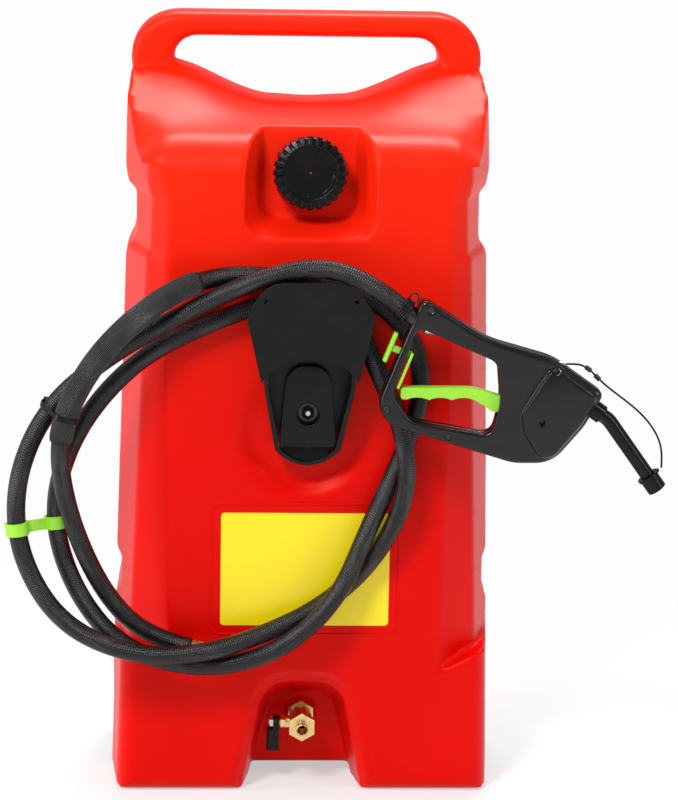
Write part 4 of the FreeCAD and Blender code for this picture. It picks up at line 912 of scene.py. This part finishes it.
nozzleSkin = {
    "voxel": 0.0011,
    "smoothing": 22,
    "domeSmoothing": 30,
    "domeFrom": (0.222, 0.238),  # x from which the pump housing is rounded
    "domeCentre": (0.279, 0.459),
    "domeReach": (0.046, 0.052),
    "domeTurn": 25,  # degrees
    "domeStep": 0.0042,  # how far its rim lies under its middle
}


def roundHousing(item, front, values):
    # Turns the flat face of the pump housing into a low dome: lowered by step * (1 - dome), where
    # dome = (1 - along ** 2 - across ** 2) ** 0.7.
    points = pointsOf(item.data)
    turn = math.radians(values["domeTurn"])
    x, z = points[:, 0] - values["domeCentre"][0], points[:, 2] - values["domeCentre"][1]
    along = (x * math.cos(turn) - z * math.sin(turn)) / values["domeReach"][0]
    across = (x * math.sin(turn) + z * math.cos(turn)) / values["domeReach"][1]
    dome = np.clip(1 - along ** 2 - across ** 2, 0, 1) ** 0.7
    outwards = -points[:, 1] if front else points[:, 1]
    outwards = np.minimum(outwards, outwards.max() - values["domeStep"] * (1 - dome))
    points[:, 1] = -outwards if front else outwards
    setPoints(item.data, points)


def softNode(node, finish, values):
    # A moulded shell with its edges rounded over: remeshed, laid on its own faces and eased.
    item = mergedCopy(node, node + "_soft")
    target = linked(bpy.data.objects.new("shell_target", item.data.copy()))
    remeshed(item, values["voxel"])
    laidOn(item, target)
    roundHousing(item, node == "nozzle_front_shell", values)
    addShare(item, "dome", eased(pointsOf(item.data)[:, 0], *values["domeFrom"]))
    softenShape(item, values["domeSmoothing"], "dome")
    softenShape(item, values["smoothing"])
    applied(item)
    item.data.shade_smooth()
    print(node, "skin:", len(item.data.polygons), "faces")
    return inPlaceOf(node, item, finish)


capShape = {
    "radius": 0.0405,
    "inside": 0.0329,
    "crown": 0.0055,  # from the cap's top down to the inside's top
    "centre": 0.0004,  # radius at which the ends of the profile are shut
    "lugs": 24,
    "lugShare": 0.56,
    "lugEdge": 0.22,  # how far the wave runs on each side of a lug's edge
    "gapDeep": 0.0036,
    "around": 960,
    "crease": 35,  # degrees
}


def capFrame():
    # The cap's middle and axis, two directions across it, and its ends along the axis.
    tilt = math.radians(neckTilt)
    axis = np.array((0.0, -math.sin(tilt), math.cos(tilt)))
    points = pointsOf(nodes["filler_cap"].data)
    middle = (points.min(0) + points.max(0)) / 2
    along = (points - middle) @ axis
    right = np.array([1.0, 0, 0])
    return middle, axis, right, np.cross(right, axis), along.min(), along.max()


def makeCap(values):
    # A turned profile whose outer rows draw in and drop between the lugs, by the gap's share.
    middle, axis, right, up, low, high = capFrame()
    full, inside, centre = values["radius"], values["inside"], values["centre"]
    crown, deep = high - values["crown"], values["gapDeep"]
    angle = np.linspace(0, 2 * np.pi, values["around"], endpoint=False)
    wave = np.cos(angle * values["lugs"]) - math.cos(math.pi * values["lugShare"])
    gap = 1 - eased(wave, -values["lugEdge"], values["lugEdge"])
    rows = [  # radius, place along the axis, and the shares and metres that it gives up in a gap
        (centre, high - 0.0012, 0, 0), (0.70 * full, high - 0.0012, 0, 0),
        (0.712 * full, high - 0.0003, 0, 0), (0.725 * full, high, 0, 0),
        (0.755 * full, high, 0, 0), (0.768 * full, high - 0.0004, 0, deep),
        (0.78 * full, high - 0.0006, 0, deep), (0.955 * full, high - 0.0012, 0.03, deep),
        (0.985 * full, high - 0.0022, 0.042, deep), (full, high - 0.0045, 0.055, deep),
        (full, high - 0.012, 0.055, 0), (full, low + 0.0015, 0.055, 0),
        (0.985 * full, low, 0.04, 0), (inside, low, 0, 0), (inside, crown, 0, 0),
        (centre, crown, 0, 0),
    ]
    radius = np.stack([size * (1 - gap * drawn) for size, _, drawn, _ in rows])
    place = np.stack([height - gap * drop for _, height, _, drop in rows])
    around = right * np.cos(angle)[:, None] + up * np.sin(angle)[:, None]
    points = middle + place[..., None] * axis + radius[..., None] * around
    item = gridPiece("cap_turned", points)
    item.data.set_sharp_from_angle(angle=math.radians(values["crease"]))
    return inPlaceOf("filler_cap", item, "black_plastic")


capMarks = {
    "radius": 0.0258,
    "width": 0.0009,
    "high": 0.0007,
    "under": 0.0014,  # how far under the cap's top the marks start
    "spans": ((145, 84), (59, 2)),  # degrees around the cap, from tail to tip
    "head": (0.8, 2.4),  # where the head starts, and its width over the shaft's
    "tip": 0.00005,  # half the tip's width
    "dot": 0.0011,
}


def makeCapArrows(values):
    # Two curved arrows: a thin raised ribbon that widens and then tapers to a tip.
    middle, axis, right, up, _, high = capFrame()
    start, wide = values["head"]
    share = np.linspace(0, 1, 60)
    taper = wide * values["width"] * (1 - share) / (1 - start)
    half = np.where(share < start, values["width"], taper)
    half[-1] = values["tip"]
    side = np.array([-1, -0.9, 0.9, 1])
    lift = high - values["under"] + np.array([0, values["high"], values["high"], 0])
    for k, (tail, tip) in enumerate(values["spans"]):
        angle = np.radians(tail + (tip - tail) * share)
        out = right * np.cos(angle)[:, None] + up * np.sin(angle)[:, None]
        away = values["radius"] + half[:, None] * side
        points = middle + lift[:, None] * axis + out[:, None] * away[..., None]
        finished(gridPiece("cap_arrow_" + str(k), points), "worn_plastic", "filler_cap")


def makeCapDot(values):
    # The red stub left by the mould, in the middle of the cap.
    middle, axis, right, up, _, high = capFrame()
    angle = np.linspace(0, 2 * np.pi, 32, endpoint=False)
    rows = [(0.02, -0.0005), (0.7, -0.0006), (1.0, -0.0009), (1.0, -values["under"])]
    around = right * np.cos(angle)[:, None] + up * np.sin(angle)[:, None]
    rings = [axis * (high + rise) + around * (values["dot"] * size) for size, rise in rows]
    piece = gridPiece("cap_dot", middle + np.stack(rings))
    finished(piece, "tank_plastic", "filler_cap")


makeCapArrows(capMarks)
makeCapDot(capMarks)
print("cap made")

for node in ("nozzle_front_shell", "nozzle_back_shell"):
    softNode(node, "nozzle_plastic", nozzleSkin)
makeCap(capShape)
for node, bevel in dressedNodes.items():
    finish = "spout_paint" if node == "spout" else slotOf[node]
    foot = hookFoot if node == "hose_hook" else None
    smoothNode(node, finish, dressing, bevel, foot)
print("rigid nodes dressed:", len(dressedNodes))

labelFrame = {
    "outwards": 0.0105,  # how far the bead stands outside the label's edge
    "corner": 0.011,
    "halfWidth": 0.0016,
    "height": 0.0009,
}


def makeLabelFrame(values):
    # A half-round bead carried round a rectangle with arcs at its corners.
    low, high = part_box("label")
    place, corner = (low + high) / 2, values["corner"]
    halfX, halfZ = ((high[i] - low[i]) / 2 + values["outwards"] for i in (0, 2))
    turn = np.linspace(0, np.pi / 2, 9)
    path, normals = [], []
    for k, (signX, signZ) in enumerate([(1, 1), (-1, 1), (-1, -1), (1, -1)]):
        angle = turn + k * np.pi / 2
        middle = np.array([signX * (halfX - corner), signZ * (halfZ - corner)])
        normal = np.stack([np.cos(angle), np.sin(angle)], -1)
        path.append(middle + corner * normal)
        normals.append(normal)
    path, normals = np.concatenate(path), np.concatenate(normals)
    across = np.linspace(np.pi, 0, 7)
    side = np.cos(across) * values["halfWidth"]
    flat = path[:, None] + normals[:, None] * side[None, :, None]
    depth = np.broadcast_to(high.y - np.sin(across) * values["height"], flat.shape[:2])
    points = np.stack([flat[..., 0] + place.x, depth, flat[..., 1] + place.z], -1)
    return gridPiece("label_bead", points, closed=True)


finished(makeLabelFrame(labelFrame), "tank_plastic", "tank_shell")
print("label bead made")

studio = {
    "floorSize": 40,
    "floorColour": (0.84, 0.84, 0.83),
    "backdrop": (0.98, 0.98, 0.98),  # what the camera sees far from the object
    "clear": (0.15, 1.1),  # metres from the middle over which the floor turns into the backdrop
    "fillStrength": 0.34,
    "lampAim": (0, 0, 0.45),
    "lamps": [
        {"name": "key", "place": (-1.3, -2.4, 3.1), "size": (0.9, 0.9), "power": 105},
        {"name": "left", "place": (-3.0, -0.6, 1.3), "size": (0.6, 2.2), "power": 40},
        {"name": "right", "place": (2.6, -1.6, 1.8), "size": (0.5, 1.6), "power": 22},
        {"name": "back", "place": (0.3, 1.3, 3.2), "size": (1.6, 1.0), "power": 85},
    ],
}


def seenDirectly(look):
    # 1 for what the camera sees, straight or in a mirror or through glass, and 0 for light.
    rays = ("Is Camera Ray", "Is Glossy Ray", "Is Transmission Ray")
    straight, mirrored, through = (look.add("ShaderNodeLightPath", result=ray) for ray in rays)
    return straight.largest(mirrored).largest(through)


def floorMaterial(values):
    # Pale floor that keeps the shadow near the object and turns into the backdrop away from it.
    look = Finish("floor", values["floorColour"], 0.75)
    place = look.place()
    look.roughness(look.noise(place, 3, 2) * 0.1 + 0.7)
    x, y, _ = look.parts(place)
    away = (x * x + y * y) ** 0.5
    share = away.between(*values["clear"]) * 0.5 + 0.5
    colour = (*values["backdrop"], 1)
    glow = look.add("ShaderNodeEmission", None, {"Color": colour, "Strength": 1.0})
    entries = {0: share * seenDirectly(look), 1: Value(look, look.shader.outputs[0]), 2: glow}
    both = look.add("ShaderNodeMixShader", None, entries)
    look.tree.links.new(both.socket, look.output.inputs[0])
    return look.material


def makeStudio(values):
    # A flat floor, an even pale world, and rectangular lamps that face their aim.
    half = values["floorSize"] / 2
    corners = [(-half, -half, 0), (half, -half, 0), (half, half, 0), (-half, half, 0)]
    mesh = bpy.data.meshes.new("floor")
    mesh.from_pydata(corners, [], [(0, 1, 2, 3)])
    floor = linked(bpy.data.objects.new("floor", mesh))
    mesh.materials.append(floorMaterial(values))
    world = bpy.data.worlds.new("studio")
    world.use_nodes = True
    background = world.node_tree.nodes["Background"]
    background.inputs["Color"].default_value = (1, 1, 1, 1)
    background.inputs["Strength"].default_value = values["fillStrength"]
    bpy.context.scene.world = world
    for lamp in values["lamps"]:
        data = bpy.data.lights.new(lamp["name"], "AREA")
        data.shape = "RECTANGLE"
        data.size, data.size_y = lamp["size"]
        data.energy = lamp["power"]
        item = linked(bpy.data.objects.new(lamp["name"], data))
        place = Vector(lamp["place"])
        turn = (Vector(values["lampAim"]) - place).to_track_quat("-Z", "Y")
        item.matrix_world = Matrix.Translation(place) @ turn.to_matrix().to_4x4()


makeStudio(studio)
bpy.context.scene.view_settings.view_transform = "Standard"
print("studio lit")
